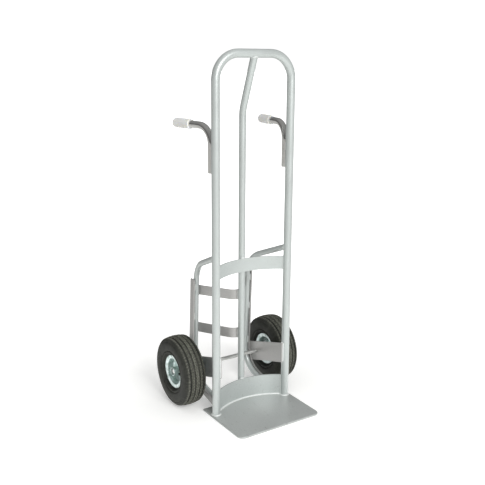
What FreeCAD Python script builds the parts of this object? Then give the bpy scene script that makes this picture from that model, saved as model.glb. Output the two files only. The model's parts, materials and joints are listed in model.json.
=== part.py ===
"""Two-wheel hand truck: welded loop frame, curved cross bars, twin grips and two pneumatic wheels.

Frame of the model, in millimetres: X across the truck, -Y towards the toe plate, +Y towards the
wheels, Z up. The origin is on the floor, under the middle of the line between the two uprights.
"""
import FreeCAD, Part
from FreeCAD import Vector
import math
import os

# ---------------------------------------------------------------- driving dimensions
# overall
OVERALL_HEIGHT = 1321.0          # 52 in, floor to the top of the loop
UPRIGHT_PITCH = 312.8            # centre to centre of the two uprights

# main loop and centre tube
RAIL_DIAMETER = 30.0
RAIL_WALL = 2.1
LOOP_BEND_RADIUS = 88.9          # centre line, at the two top corners
CENTRE_TUBE_DIAMETER = 25.4
CENTRE_TUBE_WALL = 2.1
CENTRE_TUBE_BEND_HEIGHT = 1109.0
CENTRE_TUBE_BEND_RADIUS = 110.0

# toe plate
TOE_SIDE_MARGIN = 6.1            # beyond each upright, for a plate 355 mm (14 in) wide
TOE_FRONT = 198.0                # ahead of the uprights
TOE_REAR = 65.0                  # behind the uprights
TOE_THICKNESS = 6.35
TOE_FRONT_CORNER = 24.0
TOE_REAR_CORNER = 5.0
TOE_NOSE_BEVEL = 2.5

# curved bars between the uprights
BAR_THICKNESS = 4.76
BAR_BOW_DEPTH = 46.0             # how far the middle of the front face lies behind its ends
BAR_END_SETBACK = 10.0           # the front face meets the uprights this far behind their centres
UPPER_BAR_HEIGHT = 50.8
UPPER_BAR_TOP = 570.5
BACK_PLATE_HEIGHT = 82.5

# side tubes and skid bars
SIDE_TUBE_DIAMETER = 22.2
SIDE_TUBE_WALL = 2.0
SIDE_TUBE_JOIN_HEIGHT = 609.0    # where the side tube's axis meets the upright's axis
SIDE_TUBE_TOP_BEND = (207.0, 526.0)      # (y, z) of the corner that the bend rounds
SIDE_TUBE_LOW_BEND = (230.0, 67.0)
SIDE_TUBE_FOOT = (25.0, 15.7)
SIDE_TUBE_TOP_RADIUS = 105.0
SIDE_TUBE_LOW_RADIUS = 101.6
SKID_WIDTH = 25.4
SKID_THICKNESS = 6.35
SKID_PROUD = 4.0                 # how far the skid stands out behind the side tube
SKID_TOP = 471.0

# bowed straps behind the centre tube
STRAP_HEIGHT = 38.1
STRAP_THICKNESS = 4.76
STRAP_LEVELS = {"upper_rear_strap": 424.0, "lower_rear_strap": 270.0}
STRAP_BEND_RADIUS = 42.0
STRAP_BITE = 0.4                 # how far a strap's end reaches into the side tube that it is cut to

# axle brackets
BRACKET_HEIGHT = 76.2
BRACKET_THICKNESS = 6.35
BRACKET_SLOPE = 17.0             # degrees, falling towards the rear
BRACKET_FRONT = -5.0
BRACKET_REAR = 238.0
BRACKET_CORNER = 8.0

# axle
AXLE_DIAMETER = 15.875
AXLE_BEHIND_UPRIGHTS = 170.0
AXLE_HOLE_CLEARANCE = 0.1        # radial, in the brackets
AXLE_STICK_OUT = 4.5             # past the outer bearing
RUNNING_CLEARANCE = 0.06         # radial, axle in the bearings
SPACER_WALL = 3.4
SPACER_CLEARANCE = 0.15          # radial, on the axle
WASHER_DIAMETER = 33.0
WASHER_THICKNESS = 2.5
RETAINER_THICKNESS = 1.2
RETAINER_HEIGHT = 3.3            # radial
RETAINER_MOUTH = 6.0             # gap in the open ring
RETAINER_GROOVE_DEPTH = 0.5
RETAINER_GROOVE_CLEARANCE = 0.1  # each side of the ring in its groove
END_GAP = 0.4                    # side play between the wheel and what holds it on

# wheels
TYRE_SIDE_CLEARANCE = 25.6       # from the axle bracket's outer face to the tyre
TYRE_DIAMETER = 268.0
TYRE_WIDTH = 90.0
BEAD_DIAMETER = 102.0
TYRE_WALL = 8.0
TREAD_EDGE = (15.0, 3.5)         # in from the side and down from the crown, where the tread ends
TREAD_CORNER = (8.0, 8.0)        # the same two distances, half way round the shoulder
TYRE_SHOULDER = (4.0, 19.0)      # and where the sidewall begins
BEAD_HEEL = (1.5, 1.0)           # out from the bead and up from the flange, where the sidewall ends
SIDEWALL_DROP = 2.0              # the widest point lies this far inside the middle of the sidewall
GROOVE_WIDTH = 3.5
GROOVE_DEPTH = 3.0
GROOVE_PLACES = (-25.0, -9.0, 9.0, 25.0)
INNER_TUBE_WALL = 2.0
INNER_TUBE_SEAT_GAP = 10.0       # from the rim's seat to the inner tube
INNER_TUBE_SIDE_GAP = 7.0        # from the tyre's sidewall to the inner tube
INNER_TUBE_CROWN_GAP = 3.0       # from the inside of the tread to the inner tube
RIM_FLANGE_DIAMETER = 128.0
RIM_SHEET = 2.3
RIM_HALF_WIDTH = 33.0
RIM_FLANGE_FOOT = 5.0            # from the rim's edge in to the foot of its flange
RIM_LIP = (3.0, 1.0, 0.8)        # the rolled lip: from the rim's edge in to its back, crest and bare side
RIM_LIP_DROP = (1.5, 1.8, 2.6)   # how far its back, edge and bare side lie under the crest
RIM_DISC_STEP = 9.0              # from the bead seat in to the flat disc
RIM_SEAT_START = 4.0             # from the wheel's middle out to the bead seat
HUB_WALL = 2.65                  # round the bearing pockets
HUB_INNER_REACH = 30.0           # from the wheel's middle to the inner end of the hub
HUB_OUTER_REACH = 36.0           # and to its outer end
HUB_RECESS = 9.0                 # the outer bearing sits this far inside the outer end
HUB_FLANGE_DIAMETER = 80.0
HUB_FLANGE_THICKNESS = 3.0
HUB_BORE_CLEARANCE = 3.55        # radial, between the bearings
FIT_GAP = 0.05                   # radial, between pieces that are pressed or bolted together
BEARING_SECTION = 6.3            # radial, bore to outside
BEARING_WIDTH = 11.1
BEARING_RACE = 2.2               # radial thickness of each race
BEARING_BALLS = 10
BALL_GAP = 0.12
RIM_BOLT_DIAMETER = 6.35
RIM_BOLT_COUNT = 4
RIM_BOLT_CIRCLE = 62.0
RIM_BOLT_HEAD = (11.1, 4.2)      # across flats, height
RIM_BOLT_HOLE_GAP = 0.3          # radial
RIM_BOLT_TAIL = 3.0              # past the nut
VALVE_DIAMETER = 8.0
VALVE_BASE_DIAMETER = 9.0
VALVE_PLACE = 9.5                # from the middle of the wheel, where it crosses the rim's seat
VALVE_LENGTH = 24.0
VALVE_BASE_REACH = 8.0           # the thick base ends this far past the rim's seat
VALVE_HOLE_GAP = 0.3             # radial, in the rim
VALVE_TILT = 40.0                # degrees from the radius towards the outside
VALVE_CAP_DIAMETER = 9.6
VALVE_CAP_LENGTH = 8.5
VALVE_CAP_END = 1.5              # thickness of its closed end

# handles
HANDLE_DIAMETER = 25.4
HANDLE_WALL = 2.0
HANDLE_HEIGHT = 1065.0           # axis of the grips
HANDLE_LEG_END = 905.0
HANDLE_BEND_RADIUS = 63.5
HANDLE_SPLAY = 8.8               # degrees outwards
HANDLE_REACH = 201.0             # from the leg's axis to the end of the grip
GRIP_LENGTH = 89.0
GRIP_DIAMETER = 35.0
GRIP_END_WALL = 4.0
GRIP_ROUNDING = 5.0

# ---------------------------------------------------------------- derived values
RAIL_X = UPRIGHT_PITCH / 2
RAIL_R = RAIL_DIAMETER / 2
LOOP_TOP = OVERALL_HEIGHT - RAIL_R
TOE_WIDTH = UPRIGHT_PITCH + RAIL_DIAMETER + 2 * TOE_SIDE_MARGIN
WHEEL_X = RAIL_X - RAIL_R + TYRE_SIDE_CLEARANCE + TYRE_WIDTH / 2
TYRE_R = TYRE_DIAMETER / 2
AXLE_Y = AXLE_BEHIND_UPRIGHTS
AXLE_Z = TYRE_R
AXLE_R = AXLE_DIAMETER / 2
SIDE_R = SIDE_TUBE_DIAMETER / 2
CENTRE_R = CENTRE_TUBE_DIAMETER / 2
HANDLE_R = HANDLE_DIAMETER / 2

# the bracket lies flush between the upright's inner side and the skid bar
BRACKET_X = RAIL_X - RAIL_R - BRACKET_THICKNESS
SKID_X = BRACKET_X - SKID_THICKNESS
SIDE_X = SKID_X - SIDE_R

# both curved bars follow one arc in plan
BAR_HALF_CHORD = RAIL_X - RAIL_R
BAR_FRONT_RADIUS = (BAR_HALF_CHORD ** 2 + BAR_BOW_DEPTH ** 2) / (2 * BAR_BOW_DEPTH)
BAR_MIDDLE_Y = BAR_END_SETBACK + BAR_BOW_DEPTH
BAR_CENTRE_Y = BAR_MIDDLE_Y - BAR_FRONT_RADIUS
BAR_REAR_RADIUS = BAR_FRONT_RADIUS + BAR_THICKNESS
CENTRE_TUBE_Y = BAR_MIDDLE_Y + BAR_THICKNESS + CENTRE_R

# axle stations, from the middle of the truck outwards
INNER_WASHER_X = WHEEL_X - HUB_INNER_REACH - END_GAP - WASHER_THICKNESS
SPACER_START = BRACKET_X + BRACKET_THICKNESS
OUTER_BEARING_END = HUB_OUTER_REACH - HUB_RECESS      # from the wheel's middle
RETAINER_X = WHEEL_X + OUTER_BEARING_END + END_GAP
AXLE_END_X = WHEEL_X + OUTER_BEARING_END + AXLE_STICK_OUT
SPACER_BORE_R = AXLE_R + SPACER_CLEARANCE
BEARING_BORE_R = AXLE_R + RUNNING_CLEARANCE
BEARING_R = BEARING_BORE_R + BEARING_SECTION
HUB_R = BEARING_R + FIT_GAP + HUB_WALL

ORIGIN = Vector(0, 0, 0)
ALONG_X = Vector(1, 0, 0)


# ---------------------------------------------------------------- shape helpers
def rounded_corner(before, corner, after, radius):
    """Start, middle and end of the arc that rounds a corner of a path."""
    back = (before - corner).normalize()
    ahead = (after - corner).normalize()
    half_angle = back.getAngle(ahead) / 2
    tangent = radius / math.tan(half_angle)
    centre = corner + (back + ahead).normalize() * (radius / math.sin(half_angle))
    middle = centre + (corner - centre).normalize() * radius
    return corner + back * tangent, middle, corner + ahead * tangent


def rounded_path(points, radii):
    """Straight runs through the points, with each inner point rounded by its radius."""
    edges = []
    start = points[0]
    for i, radius in enumerate(radii, 1):
        first, middle, last = rounded_corner(points[i - 1], points[i], points[i + 1], radius)
        edges.append(Part.LineSegment(start, first).toShape())
        edges.append(Part.Arc(first, middle, last).toShape())
        start = last
    edges.append(Part.LineSegment(start, points[-1]).toShape())
    return Part.Wire(edges)


def rod_along(path, radius):
    """Solid of circular section along a path."""
    edge = path.OrderedEdges[0]
    start = edge.valueAt(edge.FirstParameter)
    direction = edge.tangentAt(edge.FirstParameter)
    section = Part.Wire(Part.makeCircle(radius, start, direction))
    return Part.Solid(path.makePipeShell([section], True, False))


def tube_along(path, radius, wall):
    """Open-ended tube along a path."""
    return rod_along(path, radius).cut(rod_along(path, radius - wall))


def extruded(edges, direction):
    """Closed flat outline, extruded along a vector."""
    return Part.Face(Part.Wire(edges)).extrude(direction)


def outline(points):
    """Edges of the closed polygon through the points."""
    closed = points + points[:1]
    return Part.makePolygon(closed).Edges


def rod(x0, x1, radius, y=0.0, z=0.0):
    """Cylinder along X between two stations."""
    return Part.makeCylinder(radius, x1 - x0, Vector(x0, y, z), ALONG_X)


def ring(x0, x1, outer, inner, y=0.0, z=0.0):
    """Plain ring along X between two stations."""
    return rod(x0, x1, outer, y, z).cut(rod(x0 - 1, x1 + 1, inner, y, z))


def turned(edges):
    """Solid made by turning a closed outline in the XZ plane about the X axis."""
    face = Part.Face(Part.Wire(edges))
    return face.revolve(ORIGIN, ALONG_X, 360)


def turned_polygon(points):
    """Turned solid from (x, radius) corners."""
    return turned(outline([Vector(x, 0, r) for x, r in points]))


def hexagon(across_flats, height, start, spin=0.0):
    """Hexagonal prism along X from the given point."""
    corner = across_flats / math.sqrt(3)
    angles = [math.radians(spin + 60 * i) for i in range(6)]
    points = [start + Vector(0, corner * math.cos(a), corner * math.sin(a)) for a in angles]
    return extruded(outline(points), Vector(height, 0, 0))


def mirrored(shape):
    """The same piece on the other side of the truck."""
    return shape.mirror(ORIGIN, ALONG_X)


def whole(shape):
    """The shape as one clean solid, or as a group of solids."""
    solids = shape.removeSplitter().Solids
    return solids[0] if len(solids) == 1 else Part.makeCompound(solids)


# ---------------------------------------------------------------- frame
def loop_path():
    """Axis of the loop, from the left foot over the top to the right foot."""
    points = [
        Vector(-RAIL_X, 0, TOE_THICKNESS),
        Vector(-RAIL_X, 0, LOOP_TOP),
        Vector(RAIL_X, 0, LOOP_TOP),
        Vector(RAIL_X, 0, TOE_THICKNESS),
    ]
    return rounded_path(points, [LOOP_BEND_RADIUS, LOOP_BEND_RADIUS])


def centre_tube_path():
    """Axis of the centre tube, from the toe plate up to the axis of the loop's top."""
    points = [
        Vector(0, CENTRE_TUBE_Y, TOE_THICKNESS),
        Vector(0, CENTRE_TUBE_Y, CENTRE_TUBE_BEND_HEIGHT),
        Vector(0, 0, LOOP_TOP),
    ]
    return rounded_path(points, [CENTRE_TUBE_BEND_RADIUS])


def toe_plate():
    """Flat plate with round front corners and a slightly bevelled front edge."""
    half = TOE_WIDTH / 2
    block = Part.makeBox(TOE_WIDTH, TOE_FRONT + TOE_REAR, TOE_THICKNESS, Vector(-half, -TOE_FRONT, 0))
    corners = {-TOE_FRONT: [], TOE_REAR: []}
    for edge in block.Edges:
        middle = edge.CenterOfMass
        upright = abs(middle.z - TOE_THICKNESS / 2) < 0.01
        if upright:
            corners[round(middle.y, 3)].append(edge)
    block = block.makeFillet(TOE_FRONT_CORNER, corners[-TOE_FRONT])
    rear = [e for e in block.Edges
            if abs(e.CenterOfMass.y - TOE_REAR) < 0.01 and abs(e.CenterOfMass.z - TOE_THICKNESS / 2) < 0.01]
    block = block.makeFillet(TOE_REAR_CORNER, rear)
    nose = [e for e in block.Edges
            if abs(e.CenterOfMass.y + TOE_FRONT) < 0.01 and abs(e.CenterOfMass.z - TOE_THICKNESS) < 0.01]
    return block.makeChamfer(TOE_NOSE_BEVEL, nose)


def curved_bar(bottom, height):
    """Bowed flat bar between the uprights, before its ends are cut to them."""
    centre = Vector(0, BAR_CENTRE_Y, bottom)
    disc = Part.makeCylinder(BAR_REAR_RADIUS, height, centre)
    hole = Part.makeCylinder(BAR_FRONT_RADIUS, height, centre)
    between = Part.makeBox(2 * RAIL_X, BAR_REAR_RADIUS, height, Vector(-RAIL_X, -RAIL_R, bottom))
    return disc.cut(hole).common(between)


def side_tube_path():
    """Axis of the right side tube, from inside the upright down to the back plate."""
    top_y, top_z = SIDE_TUBE_TOP_BEND
    low_y, low_z = SIDE_TUBE_LOW_BEND
    foot_y, foot_z = SIDE_TUBE_FOOT
    points = [
        Vector(RAIL_X, 0, SIDE_TUBE_JOIN_HEIGHT),
        Vector(SIDE_X, top_y, top_z),
        Vector(SIDE_X, low_y, low_z),
        Vector(SIDE_X, foot_y, foot_z),
    ]
    return rounded_path(points, [SIDE_TUBE_TOP_RADIUS, SIDE_TUBE_LOW_RADIUS])


def behind_back_plate(shape):
    """The shape without what lies ahead of the back plate's rear face or in the toe plate."""
    front = Part.makeCylinder(BAR_REAR_RADIUS, OVERALL_HEIGHT, Vector(0, BAR_CENTRE_Y, 0))
    floor = Part.makeCylinder(OVERALL_HEIGHT, OVERALL_HEIGHT, Vector(0, 0, TOE_THICKNESS), Vector(0, 0, -1))
    return shape.cut(front).cut(floor)


def skid_bar():
    """Flat bar on edge along the outside of the right side tube, following its lower bend."""
    top_y, top_z = SIDE_TUBE_TOP_BEND
    low_y, low_z = SIDE_TUBE_LOW_BEND
    foot_y, foot_z = SIDE_TUBE_FOOT
    corner = Vector(SKID_X, low_y, low_z)
    up = (Vector(SKID_X, top_y, top_z) - corner).normalize()
    ahead = (Vector(SKID_X, foot_y, foot_z) - corner).normalize()
    half_angle = up.getAngle(ahead) / 2
    outward = (up + ahead).normalize() * -1
    leg = (SKID_TOP - low_z) / up.z
    reach = (corner.y - foot_y) / abs(ahead.y)

    def side(offset):
        """Upper end, bend and lower end of the line at this offset outside the tube's axis."""
        bend_radius = SIDE_TUBE_LOW_RADIUS + offset
        vertex = corner + outward * (offset / math.sin(half_angle))
        top = corner + up * leg + Vector(0, up.z, -up.y) * offset
        foot = corner + ahead * reach + Vector(0, -ahead.z, ahead.y) * offset
        return top, rounded_corner(top, vertex, foot, bend_radius), foot

    outer_offset = SIDE_R + SKID_PROUD
    outer_top, outer_arc, outer_foot = side(outer_offset)
    inner_top, inner_arc, inner_foot = side(outer_offset - SKID_WIDTH)
    edges = [
        Part.makeLine(outer_top, outer_arc[0]),
        Part.Arc(*outer_arc).toShape(),
        Part.makeLine(outer_arc[2], outer_foot),
        Part.makeLine(outer_foot, inner_foot),
        Part.makeLine(inner_foot, inner_arc[2]),
        Part.Arc(*reversed(inner_arc)).toShape(),
        Part.makeLine(inner_arc[0], inner_top),
        Part.makeLine(inner_top, outer_top),
    ]
    return extruded(edges, Vector(SKID_THICKNESS, 0, 0))


def rear_strap(level, side_tube_solids):
    """Bowed strap: a rounded V in plan, from one side tube round the centre tube to the other.

    Each leg is the line that touches both the middle bend's circle and the side tube's circle,
    the bend from its front and the tube from its inner side.
    """
    top_y, top_z = SIDE_TUBE_TOP_BEND
    low_y, low_z = SIDE_TUBE_LOW_BEND
    tube_y = low_y + (top_y - low_y) * (level - low_z) / (top_z - low_z)
    bend_radius = STRAP_BEND_RADIUS
    bend_y = CENTRE_TUBE_Y + CENTRE_R + STRAP_THICKNESS / 2 + bend_radius
    across = math.hypot(SIDE_X, tube_y - bend_y)
    bearing = math.atan2(tube_y - bend_y, SIDE_X)
    lean = math.asin((bend_radius + SIDE_R + STRAP_THICKNESS / 2 - STRAP_BITE) / across)
    leg_angle = bearing + lean
    leg_length = math.sqrt(across ** 2 - (across * math.sin(lean)) ** 2) + SIDE_R / 2
    bottom = level - STRAP_HEIGHT / 2

    def curve(offset):
        """Tangent point and free end of the right leg at this offset behind the middle line."""
        r = bend_radius - offset
        touch = Vector(r * math.sin(leg_angle), bend_y - r * math.cos(leg_angle), bottom)
        end = touch + Vector(math.cos(leg_angle), math.sin(leg_angle), 0) * leg_length
        return touch, end, Vector(0, bend_y - r, bottom)

    touch_front, end_front, apex_front = curve(-STRAP_THICKNESS / 2)
    touch_rear, end_rear, apex_rear = curve(STRAP_THICKNESS / 2)

    def left(point):
        return Vector(-point.x, point.y, point.z)

    edges = [
        Part.makeLine(left(end_front), left(touch_front)),
        Part.Arc(left(touch_front), apex_front, touch_front).toShape(),
        Part.makeLine(touch_front, end_front),
        Part.makeLine(end_front, end_rear),
        Part.makeLine(end_rear, touch_rear),
        Part.Arc(touch_rear, apex_rear, left(touch_rear)).toShape(),
        Part.makeLine(left(touch_rear), left(end_rear)),
        Part.makeLine(left(end_rear), left(end_front)),
    ]
    strap = extruded(edges, Vector(0, 0, STRAP_HEIGHT))
    for tube in side_tube_solids:
        strap = strap.cut(tube)
    return strap


def axle_bracket():
    """Sloping flat plate from the right upright to the skid bar, with the axle's hole."""
    slope = math.radians(BRACKET_SLOPE)
    half = BRACKET_HEIGHT / 2 / math.cos(slope)

    def level(y):
        return AXLE_Z - (y - AXLE_Y) * math.tan(slope)

    corners = [
        Vector(BRACKET_X, BRACKET_FRONT, level(BRACKET_FRONT) - half),
        Vector(BRACKET_X, BRACKET_REAR, level(BRACKET_REAR) - half),
        Vector(BRACKET_X, BRACKET_REAR, level(BRACKET_REAR) + half),
        Vector(BRACKET_X, BRACKET_FRONT, level(BRACKET_FRONT) + half),
    ]
    plate = extruded(outline(corners), Vector(BRACKET_THICKNESS, 0, 0))
    rear_corners = [e for e in plate.Edges
                    if abs(e.CenterOfMass.y - BRACKET_REAR) < 0.01
                    and abs(e.CenterOfMass.x - BRACKET_X - BRACKET_THICKNESS / 2) < 0.01]
    plate = plate.makeFillet(BRACKET_CORNER, rear_corners)
    hole = rod(BRACKET_X - 1, RAIL_X, AXLE_R + AXLE_HOLE_CLEARANCE, AXLE_Y, AXLE_Z)
    return plate.cut(hole)


# ---------------------------------------------------------------- handles
def handle_line():
    """Foot and top corner of the right handle's axis, and the way that its grip points."""
    leg_y = RAIL_R + HANDLE_R
    splay = math.radians(HANDLE_SPLAY)
    outward = Vector(math.sin(splay), math.cos(splay), 0)
    foot = Vector(RAIL_X, leg_y, HANDLE_LEG_END)
    corner = Vector(RAIL_X, leg_y, HANDLE_HEIGHT)
    return foot, corner, outward


def handle_tube():
    """L-shaped tube welded behind the right upright."""
    foot, corner, outward = handle_line()
    end = corner + outward * (HANDLE_REACH - GRIP_END_WALL)
    return tube_along(rounded_path([foot, corner, end], [HANDLE_BEND_RADIUS]), HANDLE_R, HANDLE_WALL)


def grip():
    """Soft sleeve with a closed, rounded end, turned about X and then swung on to its tube."""
    bore = HANDLE_R + FIT_GAP
    shell = rod(0, GRIP_LENGTH, GRIP_DIAMETER / 2)
    end_rims = [e for e in shell.Edges if abs(e.CenterOfMass.x - GRIP_LENGTH) < 0.01]
    shell = shell.makeFillet(GRIP_ROUNDING, end_rims)
    shell = shell.cut(rod(-1, GRIP_LENGTH - GRIP_END_WALL + FIT_GAP, bore))
    corner, outward = handle_line()[1:]
    start = corner + outward * (HANDLE_REACH - GRIP_LENGTH)
    turn = FreeCAD.Rotation(ALONG_X, outward)
    shell.Placement = FreeCAD.Placement(start, turn)
    return shell


# ---------------------------------------------------------------- axle
def axle():
    """One solid bar through both brackets and both wheels, with a groove near each end."""
    bar = rod(-AXLE_END_X, AXLE_END_X, AXLE_R, AXLE_Y, AXLE_Z)
    start = RETAINER_X - RETAINER_GROOVE_CLEARANCE
    end = RETAINER_X + RETAINER_THICKNESS + RETAINER_GROOVE_CLEARANCE
    groove = ring(start, end, AXLE_R + 1, AXLE_R - RETAINER_GROOVE_DEPTH, AXLE_Y, AXLE_Z)
    return bar.cut(groove).cut(mirrored(groove))


def retaining_ring():
    """Open spring ring in the groove at the right end of the axle, with its mouth downwards."""
    inner = AXLE_R - RETAINER_GROOVE_DEPTH
    outer = inner + RETAINER_HEIGHT
    clip = ring(RETAINER_X, RETAINER_X + RETAINER_THICKNESS, outer, inner, AXLE_Y, AXLE_Z)
    corner = Vector(RETAINER_X - 1, AXLE_Y - RETAINER_MOUTH / 2, AXLE_Z - 2 * outer)
    mouth = Part.makeBox(RETAINER_THICKNESS + 2, RETAINER_MOUTH, 2 * outer, corner)
    return clip.cut(mouth)


# ---------------------------------------------------------------- wheel, centred on the origin, outside at +X
def tyre():
    """Carcass with beads, an open cavity for the inner tube and grooves round the tread."""
    half = TYRE_WIDTH / 2
    bead_r = BEAD_DIAMETER / 2
    flange_r = RIM_FLANGE_DIAMETER / 2
    bead_out = RIM_HALF_WIDTH - RIM_FLANGE_FOOT - FIT_GAP
    bead_in = bead_out - TYRE_WALL
    wall_r = (flange_r + TYRE_R) / 2 - SIDEWALL_DROP
    heel = (bead_out + BEAD_HEEL[0], flange_r + BEAD_HEEL[1])
    shoulder = (half - TYRE_SHOULDER[0], TYRE_R - TYRE_SHOULDER[1])
    tread_edge = (half - TREAD_EDGE[0], TYRE_R - TREAD_EDGE[1])
    tread_corner = (half - TREAD_CORNER[0], TYRE_R - TREAD_CORNER[1])
    inner_shoulder = (shoulder[0] - TYRE_WALL, shoulder[1] - SIDEWALL_DROP)

    def at(x, r):
        return Vector(x, 0, r)

    right = [
        Part.makeLine(at(bead_out, bead_r), at(*heel)),
        Part.Arc(at(*heel), at(half, wall_r), at(*shoulder)).toShape(),
        Part.Arc(at(*shoulder), at(*tread_corner), at(*tread_edge)).toShape(),
    ]
    crown = Part.Arc(at(*tread_edge), at(0, TYRE_R), at(-tread_edge[0], tread_edge[1])).toShape()
    inside_right = [
        Part.makeLine(at(bead_out, bead_r), at(bead_in, bead_r)),
        Part.makeLine(at(bead_in, bead_r), at(bead_in, heel[1])),
        Part.Arc(at(bead_in, heel[1]), at(half - TYRE_WALL, wall_r), at(*inner_shoulder)).toShape(),
    ]
    inner_crown = Part.Arc(at(*inner_shoulder), at(0, TYRE_R - TYRE_WALL - GROOVE_DEPTH),
                           at(-inner_shoulder[0], inner_shoulder[1])).toShape()
    left = [edge.mirror(ORIGIN, ALONG_X) for edge in right + inside_right]
    edges = Part.sortEdges(right + [crown] + inside_right + [inner_crown] + left)[0]
    carcass = turned(edges)
    for place in GROOVE_PLACES:
        start = place - GROOVE_WIDTH / 2
        carcass = carcass.cut(ring(start, start + GROOVE_WIDTH, TYRE_R + 5, groove_floor(place)))
    return carcass


def groove_floor(place):
    """Radius of the bottom of the tread groove at this distance from the middle."""
    edge_x = TYRE_WIDTH / 2 - TREAD_EDGE[0]
    drop = TREAD_EDGE[1]
    crown_radius = (edge_x ** 2 + drop ** 2) / (2 * drop)
    surface = TYRE_R - crown_radius + math.sqrt(crown_radius ** 2 - place ** 2)
    return surface - GROOVE_DEPTH


def inner_tube():
    """Hollow rubber ring inside the tyre."""
    return inner_tube_section(0).cut(inner_tube_section(INNER_TUBE_WALL))


def inner_tube_section(shrink):
    """Solid ring of elliptical section, this much smaller all round than the inner tube."""
    low = BEAD_DIAMETER / 2 + INNER_TUBE_SEAT_GAP
    high = TYRE_R - TYRE_WALL - GROOVE_DEPTH - INNER_TUBE_CROWN_GAP
    upright = (high - low) / 2 - shrink
    across = TYRE_WIDTH / 2 - TYRE_WALL - INNER_TUBE_SIDE_GAP - shrink
    centre = Vector(0, 0, (low + high) / 2)
    long_axis, short_axis = Vector(across, 0, 0), Vector(0, 0, upright)
    if upright > across:
        long_axis, short_axis = Vector(0, 0, upright), Vector(-across, 0, 0)
    ellipse = Part.Ellipse(centre + long_axis, centre + short_axis, centre)
    return Part.Face(Part.Wire(ellipse.toShape())).revolve(ORIGIN, ALONG_X, 360)


def rim_profile():
    """Corners of the pressed outer rim half, from the disc to the flange's lip, as (x, radius)."""
    seat = BEAD_DIAMETER / 2 - FIT_GAP
    lip = RIM_FLANGE_DIAMETER / 2
    width = RIM_HALF_WIDTH
    back, crest, bare = RIM_LIP
    back_drop, edge_drop, bare_drop = RIM_LIP_DROP
    return [
        (FIT_GAP, HUB_R + FIT_GAP),
        (FIT_GAP, seat - RIM_DISC_STEP),
        (RIM_SEAT_START, seat),
        (width - RIM_FLANGE_FOOT, seat),
        (width - back, lip - back_drop),
        (width - crest, lip),
        (width, lip - edge_drop),
        (width - bare, lip - bare_drop),
        (width - RIM_FLANGE_FOOT + RIM_SHEET, seat - RIM_SHEET),
        (RIM_SEAT_START + RIM_SHEET / 2, seat - RIM_SHEET),
        (FIT_GAP + RIM_SHEET, seat - RIM_DISC_STEP),
        (FIT_GAP + RIM_SHEET, HUB_R + FIT_GAP),
    ]


def bolt_places():
    """(y, z) of the rim bolts."""
    angles = [math.radians(45 + 360 * i / RIM_BOLT_COUNT) for i in range(RIM_BOLT_COUNT)]
    return [(RIM_BOLT_CIRCLE / 2 * math.cos(a), RIM_BOLT_CIRCLE / 2 * math.sin(a)) for a in angles]


def with_bolt_holes(shape):
    """The disc or flange with a clearance hole for each rim bolt."""
    for y, z in bolt_places():
        shape = shape.cut(rod(-20, 20, RIM_BOLT_DIAMETER / 2 + RIM_BOLT_HOLE_GAP, y, z))
    return shape


def valve_line():
    """Where the valve's axis crosses the rim's seat, and the way that it points."""
    tilt = math.radians(VALVE_TILT)
    root = Vector(VALVE_PLACE, -BEAD_DIAMETER / 2, 0)
    return root, Vector(math.sin(tilt), math.cos(tilt), 0)


def outer_rim_half():
    """Pressed half rim on the outside, with the valve's hole."""
    half = with_bolt_holes(turned_polygon(rim_profile()))
    root, way = valve_line()
    radius = VALVE_BASE_DIAMETER / 2 + VALVE_HOLE_GAP
    return half.cut(Part.makeCylinder(radius, VALVE_LENGTH, root - way * (VALVE_LENGTH / 2), way))


def inner_rim_half():
    """Pressed half rim on the inside."""
    return with_bolt_holes(turned_polygon([(-x, r) for x, r in rim_profile()]))


def hub():
    """Bored hub with a flange that the rim halves are bolted to, recessed at its outer end."""
    flange_x = -FIT_GAP - RIM_SHEET
    body = rod(-HUB_INNER_REACH, HUB_OUTER_REACH, HUB_R)
    flange = rod(flange_x - HUB_FLANGE_THICKNESS, flange_x, HUB_FLANGE_DIAMETER / 2)
    body = body.fuse(with_bolt_holes(flange))
    body = body.cut(rod(-HUB_INNER_REACH - 1, HUB_OUTER_REACH + 1, AXLE_R + HUB_BORE_CLEARANCE))
    pocket_r = BEARING_R + FIT_GAP
    inner_pocket_end = BEARING_WIDTH + FIT_GAP - HUB_INNER_REACH
    body = body.cut(rod(-HUB_INNER_REACH - 1, inner_pocket_end, pocket_r))
    return body.cut(rod(OUTER_BEARING_END - BEARING_WIDTH - FIT_GAP, HUB_OUTER_REACH + 1, pocket_r))


def bearing(start):
    """Ball bearing: two grooved races and a ring of balls, from its inner end at this station."""
    middle = start + BEARING_WIDTH / 2
    inner_out = BEARING_BORE_R + BEARING_RACE
    outer_in = BEARING_R - BEARING_RACE
    pitch = (inner_out + outer_in) / 2
    ball = (outer_in - inner_out) / 2 + BEARING_RACE / 3
    groove = Part.makeTorus(pitch, ball + BALL_GAP, Vector(middle, 0, 0), ALONG_X)
    inner_race = ring(start, start + BEARING_WIDTH, inner_out, BEARING_BORE_R).cut(groove)
    outer_race = ring(start, start + BEARING_WIDTH, BEARING_R, outer_in).cut(groove)
    pieces = [inner_race, outer_race]
    for i in range(BEARING_BALLS):
        angle = 2 * math.pi * i / BEARING_BALLS
        centre = Vector(middle, pitch * math.cos(angle), pitch * math.sin(angle))
        pieces.append(Part.makeSphere(ball, centre))
    return Part.makeCompound(pieces)


def rim_bolts():
    """Hexagon-headed bolts through the hub flange and both rim halves, heads outside."""
    flats, height = RIM_BOLT_HEAD
    head_x = FIT_GAP + RIM_SHEET
    tail_x = -FIT_GAP - RIM_SHEET - HUB_FLANGE_THICKNESS - height - RIM_BOLT_TAIL
    bolts = []
    for y, z in bolt_places():
        shank = rod(tail_x, head_x + 0.5, RIM_BOLT_DIAMETER / 2, y, z)
        bolts.append(shank.fuse(hexagon(flats, height, Vector(head_x, y, z))))
    return Part.makeCompound(bolts)


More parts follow.
